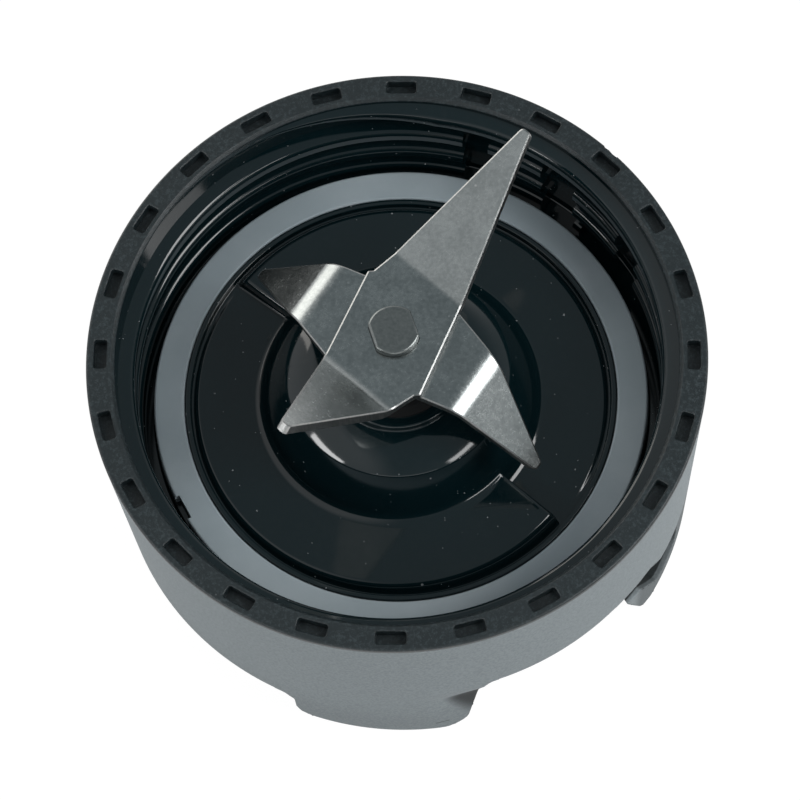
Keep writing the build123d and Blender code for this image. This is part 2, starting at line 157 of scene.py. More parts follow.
class Graph:
    """A node tree that is written as Python expressions."""

    MIX_COLOURS = (6, 7)
    MIX_RESULT = 2

    def __init__(self, tree: bpy.types.NodeTree) -> None:
        """Wrap a tree.

        Args:
            tree: A material's, world's or modifier's node tree.
        """
        self.tree = tree

    @classmethod
    def fresh(cls, owner: Union[bpy.types.Material, bpy.types.World]) -> "Graph":
        """Start an empty tree.

        Args:
            owner: The material or world that gets it.

        Returns:
            The tree's graph.
        """
        owner.use_nodes = True
        owner.node_tree.nodes.clear()
        return cls(owner.node_tree)

    def node(self, kind: str, settings: Optional[dict[str, Any]] = None,
             sockets: Optional[dict[Union[str, int], Any]] = None) -> bpy.types.Node:
        """Add any node.

        Args:
            kind: The node's type.
            settings: Its properties, set first.
            sockets: Values or links of its inputs, by name or index.

        Returns:
            The new node.
        """
        made = self.tree.nodes.new(kind)
        for name, value in (settings or {}).items():
            setattr(made, name, value)
        for key, value in (sockets or {}).items():
            if isinstance(value, Sock):
                self.tree.links.new(value.socket, made.inputs[key])
            else:
                made.inputs[key].default_value = value
        return made

    def sock(self, kind: str, settings: Optional[dict[str, Any]] = None,
             sockets: Optional[dict[Union[str, int], Any]] = None, give: Union[str, int] = 0) -> Sock:
        """Add any node and take one of its outputs.

        Args:
            kind: The node's type.
            settings: Its properties.
            sockets: Values or links of its inputs.
            give: The output's name or index.

        Returns:
            The output's socket.
        """
        return Sock(self, self.node(kind, settings, sockets).outputs[give])

    def math(self, operation: str, *values: Number) -> Sock:
        """Add a Math node.

        Args:
            operation: Blender's name of the operation.
            values: Its operands.

        Returns:
            The result's socket.
        """
        return self.sock("ShaderNodeMath", {"operation": operation}, dict(enumerate(values)))

    def smooth(self, value: Sock, span: Span, unit: float = 1.0) -> Sock:
        """Rise smoothly from zero to one across a span.

        Args:
            value: The value to map.
            span: Where the rise starts and ends.
            unit: What the span is measured in.

        Returns:
            The mapped value.
        """
        sockets = {"Value": value, "From Min": span[0] * unit, "From Max": span[1] * unit}
        return self.sock("ShaderNodeMapRange", {"interpolation_type": "SMOOTHSTEP"}, sockets)

    def place(self) -> Sock:
        """Object coordinates, in metres."""
        return self.sock("ShaderNodeTexCoord", give="Object")

    def parts(self, vector: Sock) -> tuple[Sock, Sock, Sock]:
        """Split a vector.

        Args:
            vector: The vector.

        Returns:
            Its three numbers.
        """
        split = self.node("ShaderNodeSeparateXYZ", None, {"Vector": vector})
        return Sock(self, split.outputs[0]), Sock(self, split.outputs[1]), Sock(self, split.outputs[2])

    def rays(self, *kinds: str) -> Sock:
        """One for rays of any of the kinds, such as Camera, else zero."""
        found = sum(self.sock("ShaderNodeLightPath", give=f"Is {kind} Ray") for kind in kinds)
        return self.math("MINIMUM", found, 1.0)

    def noise(self, vector: Sock, pattern: Noise) -> Sock:
        """Noise between zero and one.

        Args:
            vector: Where it is read.
            pattern: Its scale, octaves and stretch.

        Returns:
            The noise.
        """
        if pattern.stretch:
            vector = self.sock("ShaderNodeMapping", None, {"Vector": vector, "Scale": pattern.stretch})
        return self.sock("ShaderNodeTexNoise", None, {
            "Vector": vector, "Scale": pattern.scale, "Detail": pattern.detail, "Roughness": pattern.rough})

    def specks(self, vector: Sock, pattern: Specks) -> Sock:
        """Scattered small dots.

        Args:
            vector: Where they are read.
            pattern: Their cells, size and share.

        Returns:
            One on a dot, else zero.
        """
        cells = self.node("ShaderNodeTexVoronoi", None, {"Vector": vector, "Scale": pattern.scale})
        near = Sock(self, cells.outputs["Distance"]) < pattern.size
        chosen, _, _ = self.parts(Sock(self, cells.outputs["Color"]))
        return near * (chosen < pattern.share)

    def blend(self, factor: Number, first: Union[Sock, Colour], second: Union[Sock, Colour]) -> Sock:
        """Mix two colours.

        Args:
            factor: Share of the second.
            first: First colour.
            second: Second colour.

        Returns:
            The mixed colour.
        """
        sockets = {0: factor}
        for index, colour in zip(self.MIX_COLOURS, (first, second)):
            sockets[index] = colour if isinstance(colour, Sock) else (*colour, 1.0)
        return self.sock("ShaderNodeMix", {"data_type": "RGBA"}, sockets, self.MIX_RESULT)

    def bump(self, height: Sock, strength: float, depth_mm: float) -> Sock:
        """Turn a height into a normal.

        Args:
            height: Height between zero and one.
            strength: Share of the effect.
            depth_mm: Depth of the full height.

        Returns:
            The bent normal.
        """
        return self.sock("ShaderNodeBump", None, {
            "Strength": strength, "Distance": depth_mm * MM, "Height": height})


def from_axis(x: Sock, y: Sock) -> Sock:
    """Distance from the Z axis."""
    return (x * x + y * y) ** 0.5


@dataclass(frozen=True)
class Finish(ABC):
    """One surface finish, made once as a material. A relief is its share and its depth in millimetres."""

    name: str

    def material(self) -> bpy.types.Material:
        """The finish's material, made on first use."""
        known = bpy.data.materials.get(self.name)
        if known is not None:
            return known
        made = bpy.data.materials.new(self.name)
        graph = Graph.fresh(made)
        shader = graph.sock("ShaderNodeBsdfPrincipled", None, self.wire(graph))
        graph.node("ShaderNodeOutputMaterial", None, {"Surface": shader})
        return made

    @abstractmethod
    def wire(self, graph: Graph) -> dict[str, Any]:
        """Make what the shader's inputs take.

        Args:
            graph: The material's graph.

        Returns:
            Values or links of the shader's inputs.
        """


@dataclass(frozen=True)
class SatinCoat(Finish):
    """Satin grey coat with fine flakes on the outside and one real scratch; painted shade darkens it in the
    slots, recesses and inside, on the slotted lugs and towards the foot.

    Lengths are in millimetres and angles in degrees.
    """

    name: str = "satin_coat"
    colour: Colour = (0.270, 0.308, 0.323)
    pale: Colour = (0.345, 0.388, 0.404)
    # Dark colour of the painted shade in recesses, on the slotted lugs and towards the foot, and of the one
    # scratch.
    shade_and_scratch: Colour = (0.030, 0.036, 0.038)
    foot_radius: float = 45.98
    draft: float = 1.6 / 46.0
    # Depth below the outer skin over which the painted recess shade comes in.
    recess_shade_depth: Span = (0.5, 0.85)
    lug_shade_share: float = 0.55
    # Painted shade on the slotted lugs, below the slot.
    lug_shade_start: Span = (135.0, 139.0)
    lug_shade_end: Span = (171.0, 175.0)
    lug_shade_top: Span = (14.2, 15.4)
    # Painted shade that grows towards the foot.
    foot_shade_share: float = 0.15
    foot_shade_top: Span = (3.0, 17.0)
    scratch_share: float = 0.8
    scratch_angle: float = -88.4
    scratch_height: float = 3.4
    scratch_reach: float = 1.1
    scratch_slope: float = 0.12
    scratch_edge: Span = (0.08, 0.26)
    flakes: Noise = Noise(2300.0, 3.0, 0.6)
    clouds: Noise = Noise(60.0, 4.0, 0.6)
    flake_share: float = 0.85
    tint_span: Span = (0.36, 0.64)
    metallic: float = 0.1
    roughness: float = 0.62
    cloud_gloss: float = 0.12
    specular: float = 0.2
    relief: Span = (0.3, 0.03)

    def wire(self, graph: Graph) -> dict[str, Any]:
        """Flakes tint the coat; painted shade darkens it by depth below the outer skin, on the slotted lugs
        and towards the foot, and one scratch darkens it too.

        Args:
            graph: The material's graph.

        Returns:
            The shader's inputs.
        """
        place = graph.place()
        x, y, z = graph.parts(place)
        bearing = graph.math("DEGREES", graph.math("ARCTAN2", y, x))
        angle = graph.math("FLOORED_MODULO", bearing, 180.0)
        along = graph.math("ABSOLUTE", bearing - self.scratch_angle) * math.radians(self.foot_radius)
        beside = graph.math("ABSOLUTE", z / MM - self.scratch_height + along * self.scratch_slope)
        scratch = (along < self.scratch_reach) * (1.0 - graph.smooth(beside, self.scratch_edge))
        # Painted shade on the slotted lugs, below the slot.
        lug_shade = graph.smooth(angle, self.lug_shade_start) * (1.0 - graph.smooth(angle, self.lug_shade_end))
        lug_shade = lug_shade * (1.0 - graph.smooth(z, self.lug_shade_top, MM))
        # Painted shade, darker towards the foot.
        low = 1.0 - graph.smooth(z, self.foot_shade_top, MM)
        # Painted shade in the slots, recesses and inside, by depth below the outer skin.
        depth = z * self.draft + self.foot_radius * MM - from_axis(x, y)
        shade_and_scratch = graph.smooth(depth, self.recess_shade_depth, MM)
        # The painted shade masks and the real scratch all take the dark colour.
        for mask, share in ((lug_shade, self.lug_shade_share), (scratch, self.scratch_share), (low, self.foot_shade_share)):
            shade_and_scratch = graph.math("MAXIMUM", shade_and_scratch, mask * share)
        flakes = graph.noise(place, self.flakes)
        clouds = graph.noise(place, self.clouds)
        tint = graph.smooth(flakes * self.flake_share + clouds * (1.0 - self.flake_share), self.tint_span)
        return {
            "Base Color": graph.blend(shade_and_scratch, graph.blend(tint, self.colour, self.pale), self.shade_and_scratch),
            "Metallic": (1.0 - shade_and_scratch) * self.metallic,
            "Roughness": self.roughness + (clouds - 0.5) * self.cloud_gloss,
            "Specular IOR Level": self.specular,
            "Normal": graph.bump(flakes, *self.relief),
        }


@dataclass(frozen=True)
class MouldedBlack(Finish):
    """Black moulding: matte grain on the rim, gloss inside, with dust and fine scratches.

    Lengths are in millimetres.
    """

    name: str = "moulded_black"
    gloss: Colour = (0.0022, 0.0100, 0.0125)
    matte: Colour = (0.0040, 0.0105, 0.0130)
    fleck: Colour = (0.038, 0.056, 0.062)
    dust: Colour = (0.30, 0.32, 0.33)
    film: Colour = (0.024, 0.030, 0.034)
    rim_height: Span = (45.25, 45.4)
    pocket_height: Span = (43.3, 43.6)
    pocket_radius: Span = (43.65, 43.95)
    grain: Noise = Noise(1900.0, 5.0, 0.8)
    fleck_span: Span = (0.49, 0.62)
    fleck_share: float = 0.62
    haze: Noise = Noise(90.0, 5.0, 0.65)
    smear: Noise = Noise(1100.0, 5.0, 0.8)
    smear_weight: float = 0.75
    film_span: Span = (0.48, 0.64)
    film_share: float = 0.12
    scratches: Noise = Noise(1.0, 2.0, 0.5, (40.0, 900.0, 300.0))
    scratch_span: Span = (0.66, 0.72)
    specks: tuple[Specks, ...] = (
        Specks(620.0, 0.085, 0.13), Specks(260.0, 0.05, 0.12), Specks(1250.0, 0.10, 0.10))
    dust_inside: float = 0.7
    dust_on_rim: float = 0.2
    inside_roughness: float = 0.05
    haze_gloss: float = 0.06
    scratch_gloss: float = 0.08
    rim_roughness: float = 0.36
    grain_gloss: float = 0.16
    dust_gloss: float = 0.4
    specular: float = 0.68
    rim_relief: float = 0.95
    inside_relief: float = 0.03
    relief: Span = (0.8, 0.06)

    def wire(self, graph: Graph) -> dict[str, Any]:
        """The rim is told from the inside by height and radius.

        Args:
            graph: The material's graph.

        Returns:
            The shader's inputs.
        """
        place = graph.place()
        x, y, z = graph.parts(place)
        rim = graph.smooth(z, self.pocket_height, MM) * graph.smooth(from_axis(x, y), self.pocket_radius, MM)
        rim = graph.math("MAXIMUM", rim, graph.smooth(z, self.rim_height, MM))
        grain = graph.noise(place, self.grain)
        haze = graph.noise(place, self.haze)
        smear = graph.noise(place, self.smear) * self.smear_weight + haze * (1.0 - self.smear_weight)
        scratch = graph.smooth(graph.noise(place, self.scratches), self.scratch_span)
        dirt = graph.math("MINIMUM", sum(graph.specks(place, kind) for kind in self.specks), 1.0)
        hazed = graph.blend(graph.smooth(smear, self.film_span) * self.film_share, self.gloss, self.film)
        skin = graph.blend(rim, hazed, self.matte)
        skin = graph.blend(graph.smooth(grain, self.fleck_span) * rim * self.fleck_share, skin, self.fleck)
        dusty = dirt * (self.dust_inside - rim * (self.dust_inside - self.dust_on_rim))
        inside = self.inside_roughness + haze * self.haze_gloss + scratch * self.scratch_gloss
        outside = self.rim_roughness + grain * self.grain_gloss
        return {
            "Base Color": graph.blend(dusty, skin, self.dust),
            "Roughness": inside + rim * (outside - inside) + dirt * self.dust_gloss,
            "Specular IOR Level": self.specular,
            "Normal": graph.bump(grain * (rim * self.rim_relief + self.inside_relief), *self.relief),
        }


@dataclass(frozen=True)
class SheetSteel(Finish):
    """Tumbled stainless sheet: a fine grain, smudges and a few nicks."""

    name: str = "sheet_steel"
    colour: Colour = (0.44, 0.462, 0.458)
    smudge: Colour = (0.315, 0.335, 0.333)
    nick: Colour = (0.7, 0.7, 0.69)
    grain: Noise = Noise(1500.0, 4.0, 0.75)
    clouds: Noise = Noise(170.0, 4.0, 0.6)
    nicks: Specks = Specks(480.0, 0.09, 0.12)
    nick_share: float = 0.5
    grain_share: float = 0.6
    worn_span: Span = (0.36, 0.64)
    roughness: float = 0.25
    grain_gloss: float = 0.16
    cloud_gloss: float = 0.10
    relief: Span = (0.4, 0.02)

    def wire(self, graph: Graph) -> dict[str, Any]:
        """Grain and smudges vary colour and gloss.

        Args:
            graph: The material's graph.

        Returns:
            The shader's inputs.
        """
        place = graph.place()
        grain = graph.noise(place, self.grain)
        clouds = graph.noise(place, self.clouds)
        worn = graph.smooth(clouds * (1.0 - self.grain_share) + grain * self.grain_share, self.worn_span)
        nicks = graph.specks(place, self.nicks) * self.nick_share
        gloss = (grain - 0.5) * self.grain_gloss + (clouds - 0.5) * self.cloud_gloss
        return {
            "Base Color": graph.blend(nicks, graph.blend(worn, self.smudge, self.colour), self.nick),
            "Metallic": 1.0,
            "Roughness": self.roughness + gloss,
            "Normal": graph.bump(grain, *self.relief),
        }


@dataclass(frozen=True)
class Grained(Finish):
    """A finish of two colours that mix in clouds, with a fine grain in its gloss and relief."""

    colour: Colour
    clouded: Colour
    clouds: Noise
    grain: Noise
    roughness: float
    grain_gloss: float
    cloud_span: Optional[Span] = None
    relief: Optional[Span] = None
    metallic: float = 0.0
    sheen: float = 0.0

    def height(self, graph: Graph, place: Sock, grain: Sock) -> Sock:
        """Height of the relief, here the grain itself."""
        return grain

    def wire(self, graph: Graph) -> dict[str, Any]:
        """Clouds mix the colours, and the grain varies gloss and slope.

        Args:
            graph: The material's graph.

        Returns:
            The shader's inputs.
        """
        place = graph.place()
        clouds = graph.noise(place, self.clouds)
        grain = graph.noise(place, self.grain)
        tint = graph.smooth(clouds, self.cloud_span) if self.cloud_span else clouds
        inputs = {
            "Base Color": graph.blend(tint, self.colour, self.clouded),
            "Metallic": self.metallic,
            "Roughness": self.roughness + grain * self.grain_gloss,
            "Sheen Weight": self.sheen,
        }
        if self.relief:
            inputs["Normal"] = graph.bump(self.height(graph, place, grain), *self.relief)
        return inputs


@dataclass(frozen=True)
class Silicone(Grained):
    """Matte grey silicone with a soft bloom."""

    name: str = "silicone"
    colour: Colour = (0.322, 0.388, 0.420)
    clouded: Colour = (0.395, 0.460, 0.492)
    clouds: Noise = Noise(55.0, 5.0, 0.6)
    grain: Noise = Noise(3500.0)
    roughness: float = 0.52
    grain_gloss: float = 0.16
    cloud_span: Optional[Span] = (0.35, 0.75)
    relief: Optional[Span] = (0.2, 0.02)
    sheen: float = 0.08


@dataclass(frozen=True)
class GroundSteel(Grained):
    """Ground edge of a blade, with upright grinding lines across it."""

    name: str = "ground_steel"
    colour: Colour = (0.33, 0.335, 0.33)
    clouded: Colour = (0.45, 0.45, 0.44)
    clouds: Noise = Noise(1.0, 2.0, 0.6, (3600.0, 3600.0, 260.0))
    grain: Noise = Noise(1.0, 2.0, 0.6, (3600.0, 3600.0, 260.0))
    roughness: float = 0.24
    grain_gloss: float = 0.16
    cloud_span: Optional[Span] = (0.35, 0.7)
    relief: Optional[Span] = (0.15, 0.02)
    metallic: float = 1.0


@dataclass(frozen=True)
class TurnedSteel(Grained):
    """Turned steel with fine rings around the axis."""

    name: str = "turned_steel"
    colour: Colour = (0.18, 0.195, 0.19)
    clouded: Colour = (0.31, 0.325, 0.32)
    clouds: Noise = Noise(2500.0, 3.0, 0.6)
    grain: Noise = Noise(2500.0, 3.0, 0.6)
    roughness: float = 0.24
    grain_gloss: float = 0.2
    relief: Optional[Span] = (0.25, 0.015)
    metallic: float = 1.0
    rings: float = 26000.0
    ring_share: float = 0.4

    def height(self, graph: Graph, place: Sock, grain: Sock) -> Sock:
        """Rings that follow the radius and the height, mixed with the grain.

        Args:
            graph: The material's graph.
            place: Object coordinates.
            grain: The grain.

        Returns:
            The height, between zero and one.
        """
        x, y, z = graph.parts(place)
        rings = graph.math("SINE", (from_axis(x, y) + z) * self.rings) * 0.5 + 0.5
        return rings * self.ring_share + grain * (1.0 - self.ring_share)


@dataclass(frozen=True)
class PolishedSteel(Grained):
    """Polished bearing steel with a faint haze of oil."""

    name: str = "polished_steel"
    colour: Colour = (0.62, 0.62, 0.61)
    clouded: Colour = (0.5, 0.49, 0.46)
    clouds: Noise = Noise(700.0, 3.0)
    grain: Noise = Noise(700.0, 3.0)
    roughness: float = 0.14
    grain_gloss: float = 0.14
    metallic: float = 1.0


@dataclass(frozen=True)
class BlackRubber(Grained):
    """Black moulded rubber or plastic with a fine grain and a bloom."""

    name: str = "black_rubber"
    colour: Colour = (0.012, 0.0125, 0.013)
    clouded: Colour = (0.03, 0.031, 0.032)
    clouds: Noise = Noise(140.0, 4.0, 0.6)
    grain: Noise = Noise(2400.0, 3.0)
    roughness: float = 0.42
    grain_gloss: float = 0.16
    cloud_span: Optional[Span] = (0.5, 0.8)
    relief: Optional[Span] = (0.25, 0.03)


@dataclass(frozen=True)
class Corner:
    """One corner of an outline, in millimetres, and the radius that rounds it."""

    x: float
    y: float
    rounding: float = 0.0


def rounded(corners: Sequence[Corner], steps: int = 5) -> list[Point]:
    """Closed outline with its corners rounded by arcs.

    Args:
        corners: The corners in order.
        steps: Points along each arc, less one.

    Returns:
        The outline's points.
    """
    points: list[Point] = []
    for index, corner in enumerate(corners):
        here = Vector((corner.x, corner.y))
        before = corners[index - 1]
        after = corners[(index + 1) % len(corners)]
        to_before = (Vector((before.x, before.y)) - here).normalized()
        to_after = (Vector((after.x, after.y)) - here).normalized()
        if corner.rounding <= 0:
            points.append((here.x, here.y))
            continue
        half = to_before.angle(to_after) / 2
        centre = here + (to_before + to_after).normalized() * corner.rounding / math.sin(half)
        first = here + to_before * corner.rounding / math.tan(half) - centre
        last = here + to_after * corner.rounding / math.tan(half) - centre
        for step in range(steps + 1):
            arm = first.slerp(last, step / steps) if first.angle(last) > 1e-6 else first
            points.append(tuple(centre + arm.normalized() * corner.rounding))
    return points


def quarter_round(radius: float, share: float) -> float:
    """Fall of a quarter round at a share of its reach, from 0 to 1."""
    return radius * (1.0 - math.sqrt(1.0 - share * share))


class Workshop:
    """Mesh tools that the sub-assemblies share. Welds are in metres."""

    SLIVER_WELD = 0.0004 * MM
    NODE_WELD = 0.002 * MM
    CUT_WELD = 0.01 * MM
    FLAT_DEGREES = 0.4
    SHARP_DEGREES = 38.0

    @staticmethod
    def link(name: str, data: bpy.types.ID) -> bpy.types.Object:
        """Add an object to the scene.

        Args:
            name: The object's name.
            data: Its mesh, lamp or camera.

        Returns:
            The object.
        """
        made = bpy.data.objects.new(name, data)
        bpy.context.scene.collection.objects.link(made)
        return made

    @classmethod
    def to_object(cls, name: str, mesh: bmesh.types.BMesh, *finishes: Finish) -> bpy.types.Object:
        """Turn a bmesh into an object at the origin.

        Args:
            name: The object's name.
            mesh: The bmesh, which is freed.
            finishes: Its finishes, in the order of the faces' material indices.

        Returns:
            The object.
        """
        data = bpy.data.meshes.new(name)
        mesh.to_mesh(data)
        mesh.free()
        for finish in finishes:
            data.materials.append(finish.material())
        return cls.link(name, data)

    @staticmethod
    @contextmanager
    def opened(made: bpy.types.Object) -> Iterator[bmesh.types.BMesh]:
        """Open an object's mesh for changes and write them back.

        Args:
            made: The object.

        Returns:
            A context that gives the mesh.
        """
        mesh = bmesh.new()
        mesh.from_mesh(made.data)
        yield mesh
        mesh.to_mesh(made.data)
        mesh.free()

    @staticmethod
    def skin(mesh: bmesh.types.BMesh, rings: Sequence[Sequence[bmesh.types.BMVert]]) -> None:
        """Join rings of vertices by bands of faces, each ring to the next.

        Args:
            mesh: The mesh.
            rings: The rings, with as many vertices each.
        """
        for ring, following in zip(rings, rings[1:]):
            for index in range(len(ring)):
                after = (index + 1) % len(ring)
                mesh.faces.new((ring[index], following[index], following[after], ring[after]))

    @classmethod
    def lathe(cls, profile: Sequence[Point], segments: int,
              bearings: Sequence[float] = ()) -> bmesh.types.BMesh:
        """Turn a closed half section about the Z axis.

        Args:
            profile: Radius and height of its points, in millimetres.
            segments: Steps around, where they are even.
            bearings: Bearings of the sections in degrees, where they are not even.

        Returns:
            The turned mesh, in metres.
        """
        mesh = bmesh.new()
        rings = []
        for bearing in bearings or [360.0 * step / segments for step in range(segments)]:
            turn = math.radians(bearing)
            spots = [(radius * math.cos(turn), radius * math.sin(turn), height) for radius, height in profile]
            rings.append([mesh.verts.new((x * MM, y * MM, z * MM)) for x, y, z in spots])
        cls.skin(mesh, rings + rings[:1])
        bmesh.ops.recalc_face_normals(mesh, faces=mesh.faces)
        return mesh

    @classmethod
    def stacked(cls, outlines: Sequence[Sequence[Vector]]) -> bmesh.types.BMesh:
        """Join outlines into a closed solid.

        Args:
            outlines: The outlines' points from one end to the other, in millimetres.

        Returns:
            The solid's mesh, in metres.
        """
        mesh = bmesh.new()
        rings = [[mesh.verts.new(spot * MM) for spot in outline] for outline in outlines]
        cls.skin(mesh, rings)
        mesh.faces.new(rings[0])
        mesh.faces.new(rings[-1])
        bmesh.ops.recalc_face_normals(mesh, faces=mesh.faces)
        return mesh

    @classmethod
    def prism(cls, corners: Sequence[Corner], angle: float, inner: float, outer: float) -> bmesh.types.BMesh:
        """Push an outline outwards from the axis.

        Args:
            corners: The outline: X along the wall, Y up, in millimetres.
            angle: The direction outwards, in degrees.
            inner: Distance of its inner end from the axis.
            outer: Distance of its outer end.

        Returns:
            The prism's mesh, in metres.
        """
        out = Vector((math.cos(math.radians(angle)), math.sin(math.radians(angle)), 0.0))
        along = Vector((-out.y, out.x, 0.0))
        return cls.stacked([
            [out * distance + along * x + Vector((0.0, 0.0, y)) for x, y in rounded(corners)]
            for distance in (inner, outer)])

    @classmethod
    def round_edges(cls, mesh: bmesh.types.BMesh, edge_mm: float, clamp: bool) -> None:
        """Round a mesh's sharp edges.

        Args:
            mesh: The mesh.
            edge_mm: Width of the rounding.
            clamp: Whether roundings stop where they meet.
        """
        least = math.radians(cls.SHARP_DEGREES)
        sharp = [edge for edge in mesh.edges if len(edge.link_faces) == 2 and edge.calc_face_angle() > least]
        bmesh.ops.bevel(mesh, geom=sharp, offset=edge_mm * MM, segments=2, profile=0.5, affect="EDGES",
                        clamp_overlap=clamp)

    @classmethod
    def soften(cls, made: bpy.types.Object, degrees: float = 32.0) -> None:
        """Weld slivers, shade smooth with sharp edges kept, and weigh the normals so that flats stay flat.

        Args:
            made: The object.
            degrees: The least angle that stays sharp.
        """
        with cls.opened(made) as mesh:
            bmesh.ops.remove_doubles(mesh, verts=mesh.verts, dist=cls.SLIVER_WELD)
            bmesh.ops.dissolve_degenerate(mesh, edges=mesh.edges, dist=cls.SLIVER_WELD)
            for face in mesh.faces:
                face.smooth = True
            for edge in mesh.edges:
                edge.smooth = len(edge.link_faces) == 2 and edge.calc_face_angle() < math.radians(degrees)
        weigh = made.modifiers.new("weigh", "WEIGHTED_NORMAL")
        weigh.keep_sharp = True
        cls.settle(made)

    @staticmethod
    def settle(made: bpy.types.Object) -> None:
        """Apply all modifiers into a plain mesh.

        Args:
            made: The object.
        """
        graph = bpy.context.evaluated_depsgraph_get()
        data = bpy.data.meshes.new_from_object(made.evaluated_get(graph), depsgraph=graph)
        made.modifiers.clear()
        made.data = data

    @classmethod
    def combine(cls, made: bpy.types.Object, tool: bpy.types.Object, join: Join) -> None:
        """Cut one object with another, or join them, and drop the tool.

        Args:
            made: The object that stays.
            tool: The cutter or addition.
            join: What is done.
        """
        cut = made.modifiers.new("combine", "BOOLEAN")
        cut.object = tool
        cut.operation = join.value
        cut.solver = "EXACT"
        cls.settle(made)
        bpy.data.objects.remove(tool)

    @staticmethod
    def publish(made: bpy.types.Object, body: Body, slot: Slot, *nodes: str) -> None:
        """Hang a finished piece on its body.

        Args:
            made: The piece.
            body: The body that it rides on.
            slot: The record's slot of its finish; not used.
            nodes: The frame nodes that it stands for.
        """
        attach(made, body.value)
        if nodes:
            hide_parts(*nodes)
        LOG.info("%s: %d faces on %s", made.name, len(made.data.polygons), body.value)


class GeometryTree:
    """A Geometry Nodes tree with named inputs."""

    def __init__(self, name: str, **inputs: float) -> None:
        """Start a tree.

        Args:
            name: The tree's name.
            inputs: Named inputs with their values.
        """
        self.tree = bpy.data.node_groups.new(name, "GeometryNodeTree")
        self.graph = Graph(self.tree)
        self.values: dict[str, float] = {}
        for label, value in inputs.items():
            kind = "NodeSocketInt" if isinstance(value, int) else "NodeSocketFloat"
            socket = self.tree.interface.new_socket(label, in_out="INPUT", socket_type=kind)
            self.values[socket.identifier] = value
        self.tree.interface.new_socket("Geometry", in_out="OUTPUT", socket_type="NodeSocketGeometry")
        self.entry = self.graph.node("NodeGroupInput")

    def given(self, label: str) -> Sock:
        """One of the tree's inputs."""
        return Sock(self.graph, self.entry.outputs[label])

    def grow(self, geometry: Sock, finish: Finish) -> bpy.types.Object:
        """End the tree in plain meshes with a finish, and run it.

        Args:
            geometry: What the tree made.
            finish: Its finish.

        Returns:
            An object with a plain mesh, named as the tree.
        """
        real = self.graph.sock("GeometryNodeRealizeInstances", None, {0: geometry})
        dressed = self.graph.sock("GeometryNodeSetMaterial", None, {
            "Geometry": real, "Material": finish.material()})
        self.graph.node("NodeGroupOutput", None, {0: dressed})
        name = self.tree.name
        made = Workshop.link(name, bpy.data.meshes.new(name))
        grown = made.modifiers.new(name, "NODES")
        grown.node_group = self.tree
        for identifier, value in self.values.items():
            grown[identifier] = value
        Workshop.settle(made)
        return made


class RingTree(GeometryTree):
    """A tree that repeats one shape around the Z axis, facing outwards."""

    def __init__(self, name: str, count: int, radius: float, height: float, turn: float = 0.0) -> None:
        """Start a ring.

        Args:
            name: The tree's name.
            count: How many shapes it has.
            radius: Their distance from the axis, in millimetres.
            height: Their height, in millimetres.
            turn: Bearing of the first, in degrees.
        """
        super().__init__(name, Count=count, Radius=radius * MM, Height=height * MM, Turn=math.radians(turn))

    def repeat(self, shape: Sock, finish: Finish) -> bpy.types.Object:
        """Place the shape at every spot of the ring.

        Args:
            shape: The shape, which points along X.
            finish: Its finish.

        Returns:
            The row as one object.
        """
        graph = self.graph
        circle = graph.sock("GeometryNodeMeshCircle", None, {
            "Vertices": self.given("Count"), "Radius": self.given("Radius")})
        aim = graph.sock("FunctionNodeAlignRotationToVector", {"axis": "X", "pivot_axis": "Z"}, {
            "Vector": graph.sock("GeometryNodeInputPosition")})
        placed = graph.sock("GeometryNodeInstanceOnPoints", None, {
            "Points": circle, "Instance": shape, "Rotation": aim})
        moved = graph.sock("GeometryNodeTransform", None, {
            "Geometry": placed,
            "Translation": graph.sock("ShaderNodeCombineXYZ", None, {2: self.given("Height")}),
            "Rotation": graph.sock("ShaderNodeCombineXYZ", None, {2: self.given("Turn")})})
        return self.grow(moved, finish)


